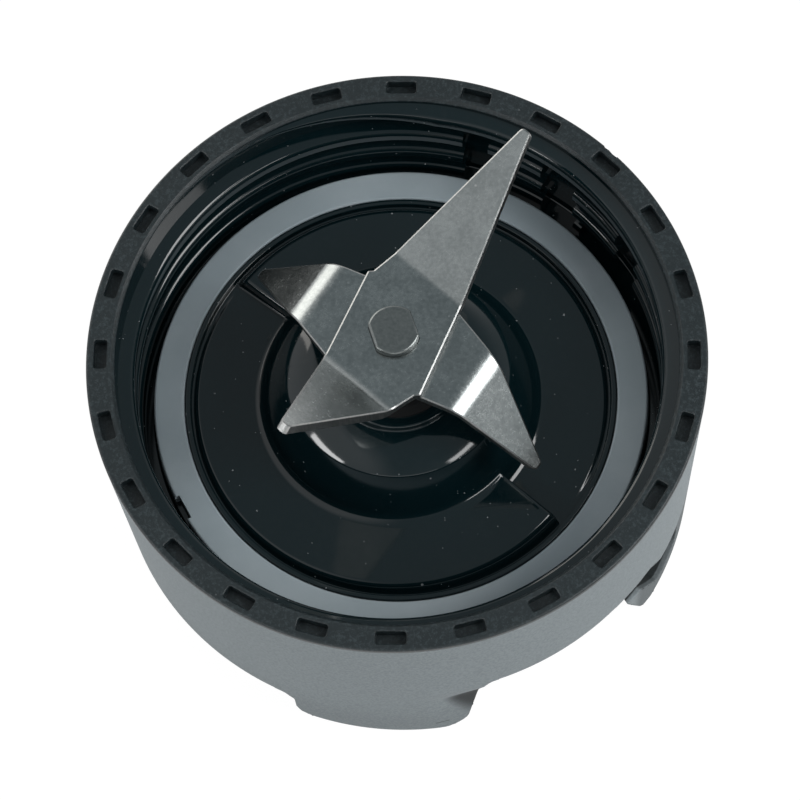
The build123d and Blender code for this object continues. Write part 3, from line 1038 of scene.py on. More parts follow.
@dataclass
class Sleeve:
    """Grey outer sleeve with its lugs, windows and locking slots.

    Sizes are in millimetres, angles in degrees.
    """

    node: str = "outer_sleeve"
    segments: int = 360
    stations: int = 2
    top: float = 44.9
    top_radius: float = 47.54
    top_round: float = 0.15
    foot_radius: float = 45.98
    foot_inner: float = 42.98
    foot_round: float = 0.4
    collar_radius: float = 46.842
    ledge: float = 22.5
    ledge_outer: float = 46.063
    ledge_inner: float = 43.763
    ledge_round: float = 0.3
    below: float = -9.0
    window_angle: float = 296.5
    window_top: float = 21.0
    window_round: float = 2.0
    window_reach: float = 30.3
    slotted_lug: Point = (11.7, 18.6)
    slotted_round: float = 5.0
    plain_lug: Point = (12.5, 15.6)
    plain_round: float = 4.0
    flat_angle: float = 280.0
    flat_distance: float = 45.48
    flat_top: float = 20.2
    flat_fade: float = 6.0
    flat_rows: int = 23
    skirt_angle: float = 26.5
    skirt_half: float = 26.7
    skirt_edge: float = 9.0
    skirt_round: float = 2.6
    slot_angle: float = 325.0
    slot_distance: float = 44.295
    slot_mouth: float = -12.9
    slot_mouth_heights: Span = (15.0, 21.0)
    slot_upper_turn: Point = (-4.0, 20.0)
    slot_lower_turn: float = -6.0
    slot_run_heights: Span = (4.8, 14.8)
    slot_end: float = 7.0
    slot_taper: float = 1.0
    slot_round: float = 2.0
    edge: float = 0.25
    finish: Finish = field(default_factory=SatinCoat)

    def shell(self) -> list[Point]:
        """Half section before the lugs are cut, with close rows where the lugs' flats will be."""
        slope = (self.top_radius - self.foot_radius) / self.top
        rows = [Corner(self.foot_radius + slope * row, float(row)) for row in range(1, self.flat_rows + 1)]
        return rounded([
            Corner(self.foot_radius, 0.0, self.foot_round),
            *rows,
            Corner(self.top_radius, self.top, self.top_round),
            Corner(self.collar_radius, self.top),
            Corner(self.ledge_outer, self.ledge),
            Corner(self.ledge_inner, self.ledge, self.ledge_round),
            Corner(self.foot_inner, 0.0, self.foot_round),
        ])

    def under(self, reach: float) -> list[Corner]:
        """Lower part of a cutter, which reaches sideways below the foot."""
        spots = ((-reach, 0.0), (-reach, self.below), (reach, self.below), (reach, 0.0))
        return [Corner(x, y) for x, y in spots]

    def window(self) -> list[Corner]:
        """Opening between the plain lug and the slotted lug, wider towards its foot."""
        return [
            Corner(self.slotted_lug[1], 0.0, self.slotted_round),
            Corner(self.slotted_lug[0], self.window_top, self.window_round),
            Corner(-self.plain_lug[0], self.window_top, self.window_round),
            Corner(-self.plain_lug[1], 0.0, self.plain_round),
            *self.under(self.window_reach),
        ]

    def skirt(self) -> list[Corner]:
        """Low opening between the two pairs of lugs."""
        spots = ((1, 0.0), (1, self.skirt_edge), (-1, self.skirt_edge), (-1, 0.0))
        corners = [Corner(side * self.skirt_half, height, self.skirt_round) for side, height in spots]
        return corners + self.under(2 * self.skirt_half)

    def slot(self) -> list[Corner]:
        """Locking slot: a mouth at the window, a ramp down and a run to a rounded end."""
        low, high = self.slot_run_heights
        return [
            Corner(self.slot_mouth, self.slot_mouth_heights[1]),
            Corner(*self.slot_upper_turn, self.slot_round),
            Corner(0.0, high, self.slot_round),
            Corner(self.slot_end, high - self.slot_taper, self.slot_round),
            Corner(self.slot_end, low + self.slot_taper, self.slot_round),
            Corner(0.0, low, self.slot_round),
            Corner(self.slot_lower_turn, self.slot_mouth_heights[0]),
            Corner(self.slot_mouth, self.slot_mouth_heights[0]),
        ]

    def flatten(self, mesh: bmesh.types.BMesh) -> None:
        """Press a shallow flat into the end of each plain lug, fading out upwards.

        Args:
            mesh: The turned shell.
        """
        pitch = 360.0 / self.stations
        for vert in mesh.verts:
            radius = vert.co.xy.length / MM
            if radius < self.foot_radius - self.foot_round:
                continue
            away = math.degrees(math.atan2(vert.co.y, vert.co.x)) - self.flat_angle
            away = math.radians((away + pitch / 2) % pitch - pitch / 2)
            share = min(max((self.flat_top - vert.co.z / MM) / self.flat_fade, 0.0), 1.0)
            share = share * share * (3.0 - 2.0 * share)
            pressed = min(radius, self.flat_distance / math.cos(away))
            vert.co.xy *= 1.0 + (pressed / radius - 1.0) * share

    def build(self) -> None:
        """Turn the shell, cut its openings and slots, round the edges and hang it on the base."""
        shell = Workshop.lathe(self.shell(), self.segments)
        self.flatten(shell)
        made = Workshop.to_object("sleeve_shell", shell, self.finish)
        cuts = (
            (self.window(), self.window_angle, 0.0),
            (self.skirt(), self.skirt_angle, 0.0),
            (self.slot(), self.slot_angle, self.slot_distance),
        )
        for station in range(self.stations):
            turn = 360.0 * station / self.stations
            for corners, angle, inner in cuts:
                cutter = Workshop.prism(corners, angle + turn, inner, 2 * self.top_radius)
                Workshop.combine(made, Workshop.to_object("cutter", cutter, self.finish), Join.CUT)
        with Workshop.opened(made) as mesh:
            bmesh.ops.remove_doubles(mesh, verts=mesh.verts, dist=Workshop.CUT_WELD)
            Workshop.round_edges(mesh, self.edge, clamp=False)
        Workshop.soften(made)
        Workshop.publish(made, Body.BASE, Slot.SLEEVE, self.node)


@dataclass
class Holder:
    """Black threaded holder: rim, collar, seal seat, ramped floor, boss and hub.

    Sizes are in millimetres, angles in degrees. Shares place close steps along a rounding.
    """

    node: str = "threaded_holder"
    segments: int = 360
    fine_round: float = 0.2
    edge_round: float = 0.3
    soft_round: float = 0.4
    root_round: float = 0.6
    rim_height: float = 46.0
    rim_radius: float = 47.56
    flange: float = 1.1
    rim_round: float = 0.4
    bore: float = 43.2
    rim_chamfer: float = 0.55
    channel_floor: float = 24.8
    channel_under: float = 22.6
    seal_wall: float = 38.9
    seal_seat: float = 26.5
    seal_top: float = 29.0
    lip_outer: float = 33.9
    lip_inner: float = 33.0
    lip_round: float = 0.25
    floor: float = 28.0
    floor_under: float = 25.4
    seat_under: float = 23.9
    floor_thickness: float = 2.6
    boss_base: float = 21.8
    boss_fillet: float = 2.2
    boss_shoulder_radius: float = 17.4
    boss_shoulder: float = 39.0
    boss_ring: float = 10.8
    boss_ring_foot: float = 41.4
    boss_top: float = 42.6
    boss_wall: float = 2.6
    boss_under_fillet: float = 0.8
    dome_round: float = 9.6
    seal_bore: float = 9.03
    seal_bore_foot: float = 38.5
    bearing_bore: float = 8.03
    bearing_shoulder: float = 6.93
    upper_bearing: float = 33.5
    lower_bearing: float = 17.0
    bearing_width: float = 5.0
    ring_groove: float = 0.5
    ring_height: float = 1.0
    hub_radius: float = 11.23
    hub_under: float = 14.6
    collar_top: float = 46.81
    collar_foot_radius: float = 46.036
    pocket_count: int = 24
    pocket_angle: float = 8.41
    pocket_radius: float = 45.4
    pocket_width: float = 4.7
    pocket_length: float = 2.0
    pocket_depth: float = 2.0
    pocket_chamfer: float = 0.16
    pocket_round: float = 0.4
    pocket_steps: int = 3
    cutter_rise: float = 1.0
    rib_count: int = 6
    rib_thickness: float = 2.0
    rib_height: float = 6.4
    rib_sink: float = 1.0
    rib_hub_bite: float = 0.6
    rib_lip_gap: float = 1.3
    nick_angle: float = 39.5
    nick_reach: float = 47.22
    nick_edge: tuple[Point, ...] = ((-1.1, 0.7), (-0.2, 0.9), (0.5, 0.5), (1.4, 0.8))
    nick_mouth: Span = (-1.6, 1.8)
    nick_above: float = 0.5
    ramp_edges: Span = (136.7, 313.4)
    ramp_rise: float = 2.7
    ramp_outer: float = 32.6
    ramp_gap: float = 0.04
    ramp_lean: float = 0.45
    ramp_round: float = 0.7
    ramp_shares: tuple[float, ...] = (1.0, 0.67, 0.4, 0.2, 0.07, 0.0)
    crest_degrees: float = 1.5
    crest_shares: tuple[float, ...] = (1.0, 0.69, 0.44, 0.24, 0.10, 0.02)
    foot_degrees: float = 1.0
    foot_shares: tuple[float, ...] = (0.03, 0.16, 0.34, 0.62, 1.0)
    foot_round: float = 0.45
    step_gap: float = 0.05
    fillet_inside: float = 0.7
    fillet_outside: float = 1.7
    fillet_height: float = 1.5
    slack: float = 0.01
    finish: Finish = field(default_factory=MouldedBlack)

    def section(self) -> list[Point]:
        """Half section of the moulding, from the hub's bore outwards and back underneath."""
        fine, edge, soft, root = self.fine_round, self.edge_round, self.soft_round, self.root_round
        groove = self.bearing_bore + self.ring_groove
        lower_top = self.lower_bearing + self.bearing_width
        ring_under = self.lower_bearing - self.ring_height
        flange_under = self.rim_height - self.flange
        seat_wall = self.seal_wall - self.floor_thickness
        floor_wall = self.lip_inner - self.floor_thickness
        boss_under = self.boss_shoulder - self.boss_wall
        return rounded([
            Corner(self.bearing_bore, self.hub_under, fine),
            Corner(self.bearing_bore, ring_under),
            Corner(groove, ring_under),
            Corner(groove, self.lower_bearing),
            Corner(self.bearing_bore, self.lower_bearing),
            Corner(self.bearing_bore, lower_top),
            Corner(self.bearing_shoulder, lower_top),
            Corner(self.bearing_shoulder, self.upper_bearing),
            Corner(self.bearing_bore, self.upper_bearing),
            Corner(self.bearing_bore, self.seal_bore_foot),
            Corner(self.seal_bore, self.seal_bore_foot),
            Corner(self.seal_bore, self.boss_top, fine),
            Corner(self.boss_ring, self.boss_top, soft),
            Corner(self.boss_ring, self.boss_ring_foot, edge),
            Corner((self.boss_ring + self.boss_shoulder_radius) / 2, self.boss_ring_foot, self.dome_round),
            Corner(self.boss_shoulder_radius, self.boss_shoulder, root),
            Corner(self.boss_base, self.floor, self.boss_fillet),
            *(Corner(self.ramp_outer - self.ramp_round * share, self.floor) for share in self.ramp_shares),
            Corner(self.ramp_outer + self.ramp_gap, self.floor),
            Corner(self.lip_inner, self.floor, self.lip_round),
            Corner(self.lip_inner, self.seal_top, self.lip_round),
            Corner(self.lip_outer, self.seal_top, fine),
            Corner(self.lip_outer, self.seal_seat),
            Corner(self.seal_wall, self.seal_seat),
            Corner(self.seal_wall, self.channel_floor, soft),
            Corner(self.bore, self.channel_floor, root),
            Corner(self.bore, self.rim_height - self.rim_chamfer, edge),
            Corner(self.bore + self.rim_chamfer, self.rim_height, fine),
            Corner(self.rim_radius, self.rim_height, self.rim_round),
            Corner(self.rim_radius, flange_under, fine),
            Corner(self.collar_top, flange_under),
            Corner(self.collar_foot_radius, self.channel_under, edge),
            Corner(seat_wall, self.channel_under, edge),
            Corner(seat_wall, self.seat_under, edge),
            Corner(floor_wall, self.seat_under, edge),
            Corner(floor_wall, self.floor_under, edge),
            Corner(self.boss_base - self.boss_wall, self.floor_under, self.boss_under_fillet),
            Corner(self.boss_shoulder_radius - self.boss_wall, boss_under, root),
            Corner(self.hub_radius, boss_under, soft),
            Corner(self.hub_radius, self.hub_under, edge),
        ])

    def bearings(self) -> list[float]:
        """Bearings of the turned sections: one a degree, and closer at the ramps' steps."""
        offsets = [-self.crest_degrees * share for share in self.crest_shares]
        offsets += [self.foot_degrees * share for share in self.foot_shares]
        close = [edge + offset for edge in self.ramp_edges for offset in offsets]
        clear = self.crest_degrees + self.step_gap
        even = [float(step) for step in range(self.segments)
                if all(abs(step - edge) > clear for edge in self.ramp_edges)]
        return sorted(even + close)

    def lift(self, bearing: float) -> float:
        """Height of a ramp above the floor.

        Args:
            bearing: The bearing in degrees, from 0 to 360.

        Returns:
            The height in millimetres, rounded at the crest and the foot of each step.
        """
        first, second = self.ramp_edges
        start, end = (first, second) if first <= bearing < second else (second, first + 360.0)
        past = (bearing - start) % 360.0
        crest = max(0.0, 1.0 - (end - start - past) / self.crest_degrees)
        foot = max(0.0, 1.0 - past / self.foot_degrees)
        height = self.ramp_rise * past / (end - start)
        return height - quarter_round(self.ramp_round, crest) + quarter_round(self.foot_round, foot)

    def ramp(self, mesh: bmesh.types.BMesh) -> None:
        """Raise the floor into two ramps around the boss, each ending in a radial step.

        Args:
            mesh: The turned holder.
        """
        slope = (self.boss_base - self.boss_shoulder_radius) / (self.boss_shoulder - self.floor)
        inner, outer = self.boss_base - self.fillet_inside, self.ramp_outer + self.slack
        for vert in mesh.verts:
            radius = vert.co.xy.length / MM
            above = vert.co.z / MM - self.floor
            if not (inner < radius < outer and -self.slack < above < self.fillet_height):
                continue
            over = min(1.0, max(0.0, 1.0 - (self.ramp_outer - radius) / self.ramp_round))
            bearing = math.degrees(math.atan2(vert.co.y, vert.co.x)) % 360.0
            lift = max(0.0, self.lift(bearing) - quarter_round(self.ramp_round, over))
            lean = slope if radius < self.boss_base + self.fillet_outside else self.ramp_lean
            vert.co.z += lift * MM
            vert.co.xy *= 1.0 - lean * lift / radius

    def pockets(self) -> bpy.types.Object:
        """Row of cutters for the rim's pockets, each flared at its mouth."""
        flare, rise = self.pocket_chamfer, self.cutter_rise
        outlines = []
        for height, wider in ((-self.pocket_depth, 0.0), (-flare, 0.0), (0.0, flare), (rise, flare + rise)):
            half_x, half_y = self.pocket_length / 2 + wider, self.pocket_width / 2 + wider
            spots = ((half_x, half_y), (-half_x, half_y), (-half_x, -half_y), (half_x, -half_y))
            corners = [Corner(x, y, self.pocket_round + wider) for x, y in spots]
            outlines.append([Vector((x, y, height)) for x, y in rounded(corners, self.pocket_steps)])
        single = Workshop.to_object("pocket_cutter", Workshop.stacked(outlines), self.finish)
        row = RingTree("rim_pockets", self.pocket_count, self.pocket_radius, self.rim_height,
                       self.pocket_angle)
        cutter = row.graph.sock("GeometryNodeObjectInfo", None, {"Object": single}, "Geometry")
        made = row.repeat(cutter, self.finish)
        bpy.data.objects.remove(single)
        return made

    def ribs(self) -> bpy.types.Object:
        """Ribs under the floor, from the hub to the seal's seat."""
        inner, outer = self.hub_radius - self.rib_hub_bite, self.lip_inner - self.rib_lip_gap
        size = Vector((outer - inner, self.rib_thickness, self.rib_height + self.rib_sink)) * MM
        middle = self.floor_under + self.rib_sink / 2 - self.rib_height / 2
        row = RingTree("floor_ribs", self.rib_count, (inner + outer) / 2, middle)
        return row.repeat(row.graph.sock("GeometryNodeMeshCube", None, {"Size": size}), self.finish)

    def nick(self) -> bpy.types.Object:
        """Cutter for the worn nick in the rim's outer edge."""
        top, (left, right) = self.rim_height, self.nick_mouth
        corners = [Corner(along, top - deep, self.fine_round) for along, deep in self.nick_edge]
        corners += [Corner(right, top + self.nick_above), Corner(left, top + self.nick_above)]
        cutter = Workshop.prism(corners, self.nick_angle, self.nick_reach, self.rim_radius + self.cutter_rise)
        return Workshop.to_object("nick_cutter", cutter, self.finish)

    def build(self) -> None:
        """Turn the section, raise the ramps, cut pockets and nick, join the ribs and hang it on the base."""
        turned = Workshop.lathe(self.section(), self.segments, self.bearings())
        self.ramp(turned)
        made = Workshop.to_object("holder_moulding", turned, self.finish)
        Workshop.combine(made, self.pockets(), Join.CUT)
        Workshop.combine(made, self.nick(), Join.CUT)
        Workshop.combine(made, self.ribs(), Join.ADD)
        Workshop.soften(made)
        Workshop.publish(made, Body.BASE, Slot.HOLDER, self.node)


@dataclass
class CupThread:
    """Chunky single thread inside the collar, broken by upright gaps.

    Sizes are in millimetres, angles in degrees.
    """

    root: float = 43.3
    bite: float = 0.3
    depth: float = 2.55
    crest: float = 2.7
    upper_flank: float = 0.6
    lower_flank: float = 0.8
    rounding: float = 0.95
    rounding_steps: int = 6
    pitch: float = 5.8
    level_angle: float = 150.0
    level: float = 39.7
    first: float = -680.0
    last: float = 482.0
    fade: float = 47.0
    least: float = 0.02
    gap_limit: float = 70.0
    gaps: tuple[Span, ...] = ((20.5, 28.0), (42.0, 51.0), (64.0, 70.0))
    sharp: float = 40.0
    finish: Finish = field(default_factory=MouldedBlack)

    def path(self, tree: GeometryTree) -> Sock:
        """Helix that the thread follows, without its gaps.

        Args:
            tree: The thread's tree.

        Returns:
            The curve, in millimetres.
        """
        graph = tree.graph
        line = graph.sock("GeometryNodeMeshLine", None, {"Count": tree.given("Count")})
        angle = graph.sock("GeometryNodeInputIndex") + tree.given("First")
        around = graph.math("FLOORED_MODULO", angle, 360.0)
        gap = sum((around > low) * (around < high) for low, high in self.gaps)
        turn = graph.math("RADIANS", angle)
        spot = graph.sock("ShaderNodeCombineXYZ", None, {
            0: tree.given("Root") * graph.math("COSINE", turn),
            1: tree.given("Root") * graph.math("SINE", turn),
            2: tree.given("Level") + (angle - tree.given("LevelAngle")) * tree.given("Pitch") / 360.0})
        path = graph.sock("GeometryNodeSetPosition", None, {"Geometry": line, "Position": spot})
        path = graph.sock("GeometryNodeDeleteGeometry", None, {
            "Geometry": path, "Selection": gap * (angle < tree.given("GapLimit"))})
        path = graph.sock("GeometryNodeMeshToCurve", None, {"Mesh": path})
        return graph.sock("GeometryNodeSetCurveNormal", {"mode": "Z_UP"}, {"Curve": path})

    def shape(self, tree: GeometryTree) -> Sock:
        """Section of the thread, with its crest rounded.

        Args:
            tree: The thread's tree.

        Returns:
            The closed curve, in millimetres.
        """
        graph = tree.graph
        shape = graph.sock("GeometryNodeCurvePrimitiveQuadrilateral", {"mode": "POINTS"}, {
            "Point 1": (self.bite, -self.upper_flank, 0.0), "Point 2": (-self.depth, 0.0, 0.0),
            "Point 3": (-self.depth, self.crest, 0.0),
            "Point 4": (self.bite, self.crest + self.lower_flank, 0.0)})
        inward, _, _ = graph.parts(graph.sock("GeometryNodeInputPosition"))
        return graph.sock("GeometryNodeFilletCurve", {"mode": "POLY"}, {
            "Curve": shape, "Count": self.rounding_steps, "Radius": (inward < 0.0) * tree.given("Rounding")})

    def build(self) -> None:
        """Sweep the thread's section along its path, fade it out at its end and hang it on the base."""
        count = int(self.last - self.first) + 1
        tree = GeometryTree("cup_thread", Count=count, First=self.first, Root=self.root, Pitch=self.pitch,
                            Level=self.level, LevelAngle=self.level_angle, Fade=self.fade, Last=self.last,
                            GapLimit=self.gap_limit, Rounding=self.rounding)
        graph = tree.graph
        path, shape = self.path(tree), self.shape(tree)
        _, _, level = graph.parts(graph.sock("GeometryNodeInputPosition"))
        reached = (level - tree.given("Level")) * 360.0 / tree.given("Pitch") + tree.given("LevelAngle")
        left = graph.math("MINIMUM", (tree.given("Last") - reached) / tree.given("Fade") + self.least, 1.0)
        ridge = graph.sock("GeometryNodeCurveToMesh", None, {
            "Curve": path, "Profile Curve": shape, "Scale": left, "Fill Caps": True})
        sized = graph.sock("GeometryNodeTransform", None, {"Geometry": ridge, "Scale": (MM, MM, MM)})
        made = tree.grow(sized, self.finish)
        with Workshop.opened(made) as mesh:
            bmesh.ops.recalc_face_normals(mesh, faces=mesh.faces)
        Workshop.soften(made, self.sharp)
        Workshop.publish(made, Body.BASE, Slot.HOLDER)


@dataclass
class CupSeal:
    """Grey seal ring with a notch in its outer edge. Sizes are in millimetres, angles in degrees."""

    node: str = "seal_ring"
    segments: int = 288
    inner: float = 34.0
    outer: float = 38.8
    under: float = 26.5
    under_edge: float = 0.2
    top: float = 29.0
    top_edge: float = 0.4
    notch_angle: float = 202.7
    notch_width: float = 4.2
    notch_depth: float = 0.8
    cutter_rise: float = 1.0
    finish: Finish = field(default_factory=Silicone)

    def build(self) -> None:
        """Turn the ring, cut its notch and hang it on the base."""
        corners = [
            Corner(self.inner, self.under, self.under_edge),
            Corner(self.outer, self.under, self.under_edge),
            Corner(self.outer, self.top, self.top_edge),
            Corner(self.inner, self.top, self.top_edge),
        ]
        made = Workshop.to_object("seal_band", Workshop.lathe(rounded(corners), self.segments), self.finish)
        half, rise = self.notch_width / 2, self.cutter_rise
        low, high = self.under - rise, self.top + rise
        notch = [Corner(half, low), Corner(half, high), Corner(-half, high), Corner(-half, low)]
        cutter = Workshop.prism(notch, self.notch_angle, self.outer - self.notch_depth, self.outer + rise)
        Workshop.combine(made, Workshop.to_object("cutter", cutter, self.finish), Join.CUT)
        Workshop.soften(made)
        Workshop.publish(made, Body.BASE, Slot.SEAL, self.node)


@dataclass(frozen=True)
class Bend:
    """One bend of a blade: its place along the sheet, the wing's slope upwards and its radius."""

    place: float
    slope: float
    radius: float

    @property
    def lift(self) -> float:
        """The slope's size as an angle in radians."""
        return math.radians(abs(self.slope))

    @property
    def start(self) -> float:
        """Where the bend starts along the sheet."""
        return self.place - self.radius * math.tan(self.lift / 2)


@dataclass
class Blade:
    """A stamped and bent blade. Sizes are in millimetres, angles in degrees."""

    name: str
    node: str
    angle: float
    top: float
    near: Bend
    far: Bend
    plan: Sequence[Corner]
    thickness: float = 1.5
    ground_width: float = 0.22
    ground_drop: float = 0.10
    hole_reach: float = 5.0
    hole_radius: float = 4.06
    hole_flats: float = 6.92
    hole_steps: int = 12
    flats_angle: float = 12.5
    corner_steps: int = 4
    bend_steps: int = 8
    flat_cuts: tuple[float, ...] = (-8.0, -4.0, 0.0, 4.0, 8.0)
    cut_slack: float = 1e-4
    sharp: float = 15.0
    sheet: Finish = field(default_factory=SheetSteel)
    ground: Finish = field(default_factory=GroundSteel)

    def bent(self, along: float) -> tuple[float, float]:
        """Height and slope of the sheet's top at a place along it.

        Args:
            along: Distance from the shaft along the sheet.

        Returns:
            Height in millimetres, and slope as an angle in radians.
        """
        bend = self.far if along > 0 else self.near
        run = abs(along) - bend.start
        if run <= 0:
            return 0.0, 0.0
        if run < bend.radius * math.sin(bend.lift):
            turn = math.asin(run / bend.radius)
            height = bend.radius * (1 - math.cos(turn))
        else:
            turn = bend.lift
            height = (abs(along) - bend.place) * math.tan(turn)
        sign = math.copysign(1.0, bend.slope)
        return sign * height, sign * turn * math.copysign(1.0, along)

    def cuts(self) -> list[float]:
        """Places along the sheet where its faces are split so that they can bend."""
        places = list(self.flat_cuts)
        for side, bend in ((-1, self.near), (1, self.far)):
            turns = [bend.lift * step / self.bend_steps for step in range(self.bend_steps + 1)]
            places += [side * (bend.start + bend.radius * math.sin(turn)) for turn in turns]
        return places

    def hole(self) -> list[Point]:
        """Outline of the shaft's hole, in the blade's own directions."""
        half = math.acos(self.hole_flats / 2 / self.hole_radius)
        turn = math.radians(self.flats_angle - self.angle)
        points = []
        for side in (0.0, math.pi):
            for step in range(self.hole_steps + 1):
                spot = turn + side + half + (math.pi - 2 * half) * step / self.hole_steps
                points.append((self.hole_radius * math.cos(spot), self.hole_radius * math.sin(spot)))
        return points

    def flat(self) -> bmesh.types.BMesh:
        """Flat sheet of one layer of faces, with its ground band marked, split where it will bend."""
        mesh = bmesh.new()
        rims = []
        for outline in (rounded(self.plan, self.corner_steps), self.hole()):
            verts = [mesh.verts.new((x, y, 0.0)) for x, y in outline]
            rims += [mesh.edges.new((verts[i - 1], verts[i])) for i in range(len(verts))]
        bmesh.ops.triangle_fill(mesh, edges=rims, use_beauty=True, normal=(0, 0, 1))
        band = bmesh.ops.inset_region(mesh, faces=mesh.faces[:], thickness=self.ground_width,
                                      use_even_offset=True, use_boundary=True)
        for face in band["faces"]:
            face.material_index = int(face.calc_center_median().length > self.hole_reach)
        for place in self.cuts():
            geometry = mesh.verts[:] + mesh.edges[:] + mesh.faces[:]
            bmesh.ops.bisect_plane(mesh, geom=geometry, dist=self.cut_slack, plane_co=(place, 0, 0),
                                   plane_no=(1, 0, 0))
        bmesh.ops.recalc_face_normals(mesh, faces=mesh.faces)
        if sum(face.normal.z for face in mesh.faces) < 0:
            bmesh.ops.reverse_faces(mesh, faces=mesh.faces[:])
        return mesh

    def press(self, mesh: bmesh.types.BMesh) -> None:
        """Bend the flat sheet, grind its edges and give it its thickness.

        Args:
            mesh: The flat sheet.
        """
        tops = mesh.faces[:]
        outside = {vert for edge in mesh.edges if edge.is_boundary for vert in edge.verts
                   if vert.co.length > self.hole_reach}
        lower = {}
        for vert in mesh.verts[:]:
            height, turn = self.bent(vert.co.x)
            vert.co.z = height
            drop = Vector((math.sin(turn), 0.0, -math.cos(turn)))
            lower[vert] = mesh.verts.new(vert.co + drop * self.thickness)
            if vert in outside:
                vert.co += drop * self.ground_drop
        for face in tops:
            mesh.faces.new([lower[vert] for vert in reversed(face.verts[:])])
        for edge in [edge for edge in mesh.edges if len(edge.link_faces) == 1 and edge.verts[0] in lower]:
            loop = edge.link_loops[0]
            first, second = loop.vert, loop.link_loop_next.vert
            side = mesh.faces.new((second, first, lower[first], lower[second]))
            side.material_index = 1
        bmesh.ops.recalc_face_normals(mesh, faces=mesh.faces)

    def build(self) -> None:
        """Cut the plan from sheet, press it into shape, turn it to its place and hang it on the rotor."""
        mesh = self.flat()
        self.press(mesh)
        place = Matrix.Rotation(math.radians(self.angle), 4, "Z") @ Matrix.Translation((0, 0, self.top))
        mesh.transform(Matrix.Scale(MM, 4) @ place)
        made = Workshop.to_object(self.name, mesh, self.sheet, self.ground)
        Workshop.soften(made, self.sharp)
        Workshop.publish(made, Body.ROTOR, Slot.BLADE, self.node)


def tip(x: float, y: float, half: float, rounding: float = 0.7) -> list[Corner]:
    """Blunt tip of a blade's wing.

    Args:
        x: Its place along the sheet.
        y: Its middle across the sheet.
        half: Half its width, below zero where the outline passes it upwards.
        rounding: Radius of its corners.

    Returns:
        Its two corners.
    """
    return [Corner(x, y + half, rounding), Corner(x, y - half, rounding)]


def shoulder(x: float, y: float, run: float, fall: float, rounding: float = 0.4) -> list[Corner]:
    """Corner of a blade's middle with a small cut across it.

    Args:
        x: Where the cut starts along the sheet.
        y: Where it starts across the sheet.
        run: How far it goes along the sheet.
        fall: How far it goes across the sheet.
        rounding: Radius of its ends.

    Returns:
        Its two corners.
    """
    return [Corner(x, y, rounding), Corner(x + run, y + fall, rounding)]


def upper_blade() -> Blade:
    """The upper blade, its near wing bent up steeply and its far wing slightly."""
    cut, half = 0.6, 9.8
    plan = [
        *tip(35.6, 4.9, 0.8),
        *shoulder(-4.9, -half, -cut, cut),
        *tip(-25.8, -3.3, -0.8),
        Corner(-9.75, 5.2),
        *shoulder(4.9, half, cut, -cut),
    ]
    near, far = Bend(9.75, 47.4, 2.8), Bend(9.75, 16.8, 3.0)
    return Blade("upper_cutter", "upper_blade", 42.0, 54.5, near, far, plan)


def lower_blade() -> Blade:
    """The lower blade, both wings bent down, the same after half a turn."""
    cut, half = 0.6, 8.8
    side = [
        *tip(27.1, -1.9, -0.8),
        Corner(16.5, 4.7),
        *shoulder(5.2, half, -cut, -cut),
        Corner(-14.4, 5.3),
    ]
    plan = side + [Corner(-corner.x, -corner.y, corner.rounding) for corner in side]
    bend = Bend(14.4, -45.5, 5.4)
    return Blade("lower_cutter", "lower_blade", 321.0, 53.0, bend, bend, plan)


@dataclass
class Shaft:
    """Blade shaft with its rounded head. Sizes are in millimetres."""

    node: str = "blade_shaft"
    edge: float = 0.3
    finish: Finish = field(default_factory=TurnedSteel)

    def build(self) -> None:
        """Copy the frame's shaft, merge its triangles, round its edges and hang it on the rotor."""
        mesh = bmesh.new()
        mesh.from_mesh(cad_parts[self.node].data)
        bmesh.ops.remove_doubles(mesh, verts=mesh.verts, dist=Workshop.NODE_WELD)
        bmesh.ops.dissolve_limit(mesh, angle_limit=math.radians(Workshop.FLAT_DEGREES), verts=mesh.verts,
                                 edges=mesh.edges)
        Workshop.round_edges(mesh, self.edge, clamp=True)
        for face in mesh.faces:
            face.material_index = 0
        made = Workshop.to_object("shaft_turned", mesh, self.finish)
        Workshop.soften(made)
        Workshop.publish(made, Body.ROTOR, Slot.SHAFT, self.node)


@dataclass
class InnerWorks:
    """Pieces that keep the frame's own solids and only get their finishes."""

    turned: tuple[str, ...] = ("blade_spacer", "bearing_spacer", "coupling_insert")
    polished: tuple[str, ...] = (
        "upper_outer_race", "upper_inner_race", "upper_ball_set", "upper_ball_cage", "upper_shields",
        "lower_outer_race", "lower_inner_race", "lower_ball_set", "lower_ball_cage", "lower_shields",
        "hub_ring", "thrust_washer", "shaft_ring")
    rubber: tuple[str, ...] = ("shaft_seal", "drive_coupling")

    def build(self) -> None:
        """Dress each node."""
        finishes = (TurnedSteel(), PolishedSteel(), BlackRubber())
        for nodes, finish in zip((self.turned, self.polished, self.rubber), finishes):
            for node in nodes:
                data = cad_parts[node].data
                data.materials.clear()
                data.materials.append(finish.material())
                LOG.info("%s: dressed in %s", node, finish.name)


@dataclass(frozen=True)
class Lamp:
    """A soft box: its place and aim in metres, its sides and its power in watts."""

    name: str
    place: Triple
    sides: tuple[float, float]
    power: float
    tint: Colour = (1.0, 1.0, 1.0)
    aim: Triple = (0.0, 0.0, 0.04)

    def light(self) -> None:
        """Hang the soft box."""
        data = bpy.data.lights.new(self.name, "AREA")
        data.shape = "RECTANGLE"
        data.size, data.size_y = self.sides
        data.energy = self.power
        data.color = self.tint
        made = Workshop.link(self.name, data)
        made.location = self.place
        made.rotation_euler = (Vector(self.aim) - Vector(self.place)).to_track_quat("-Z", "Y").to_euler()


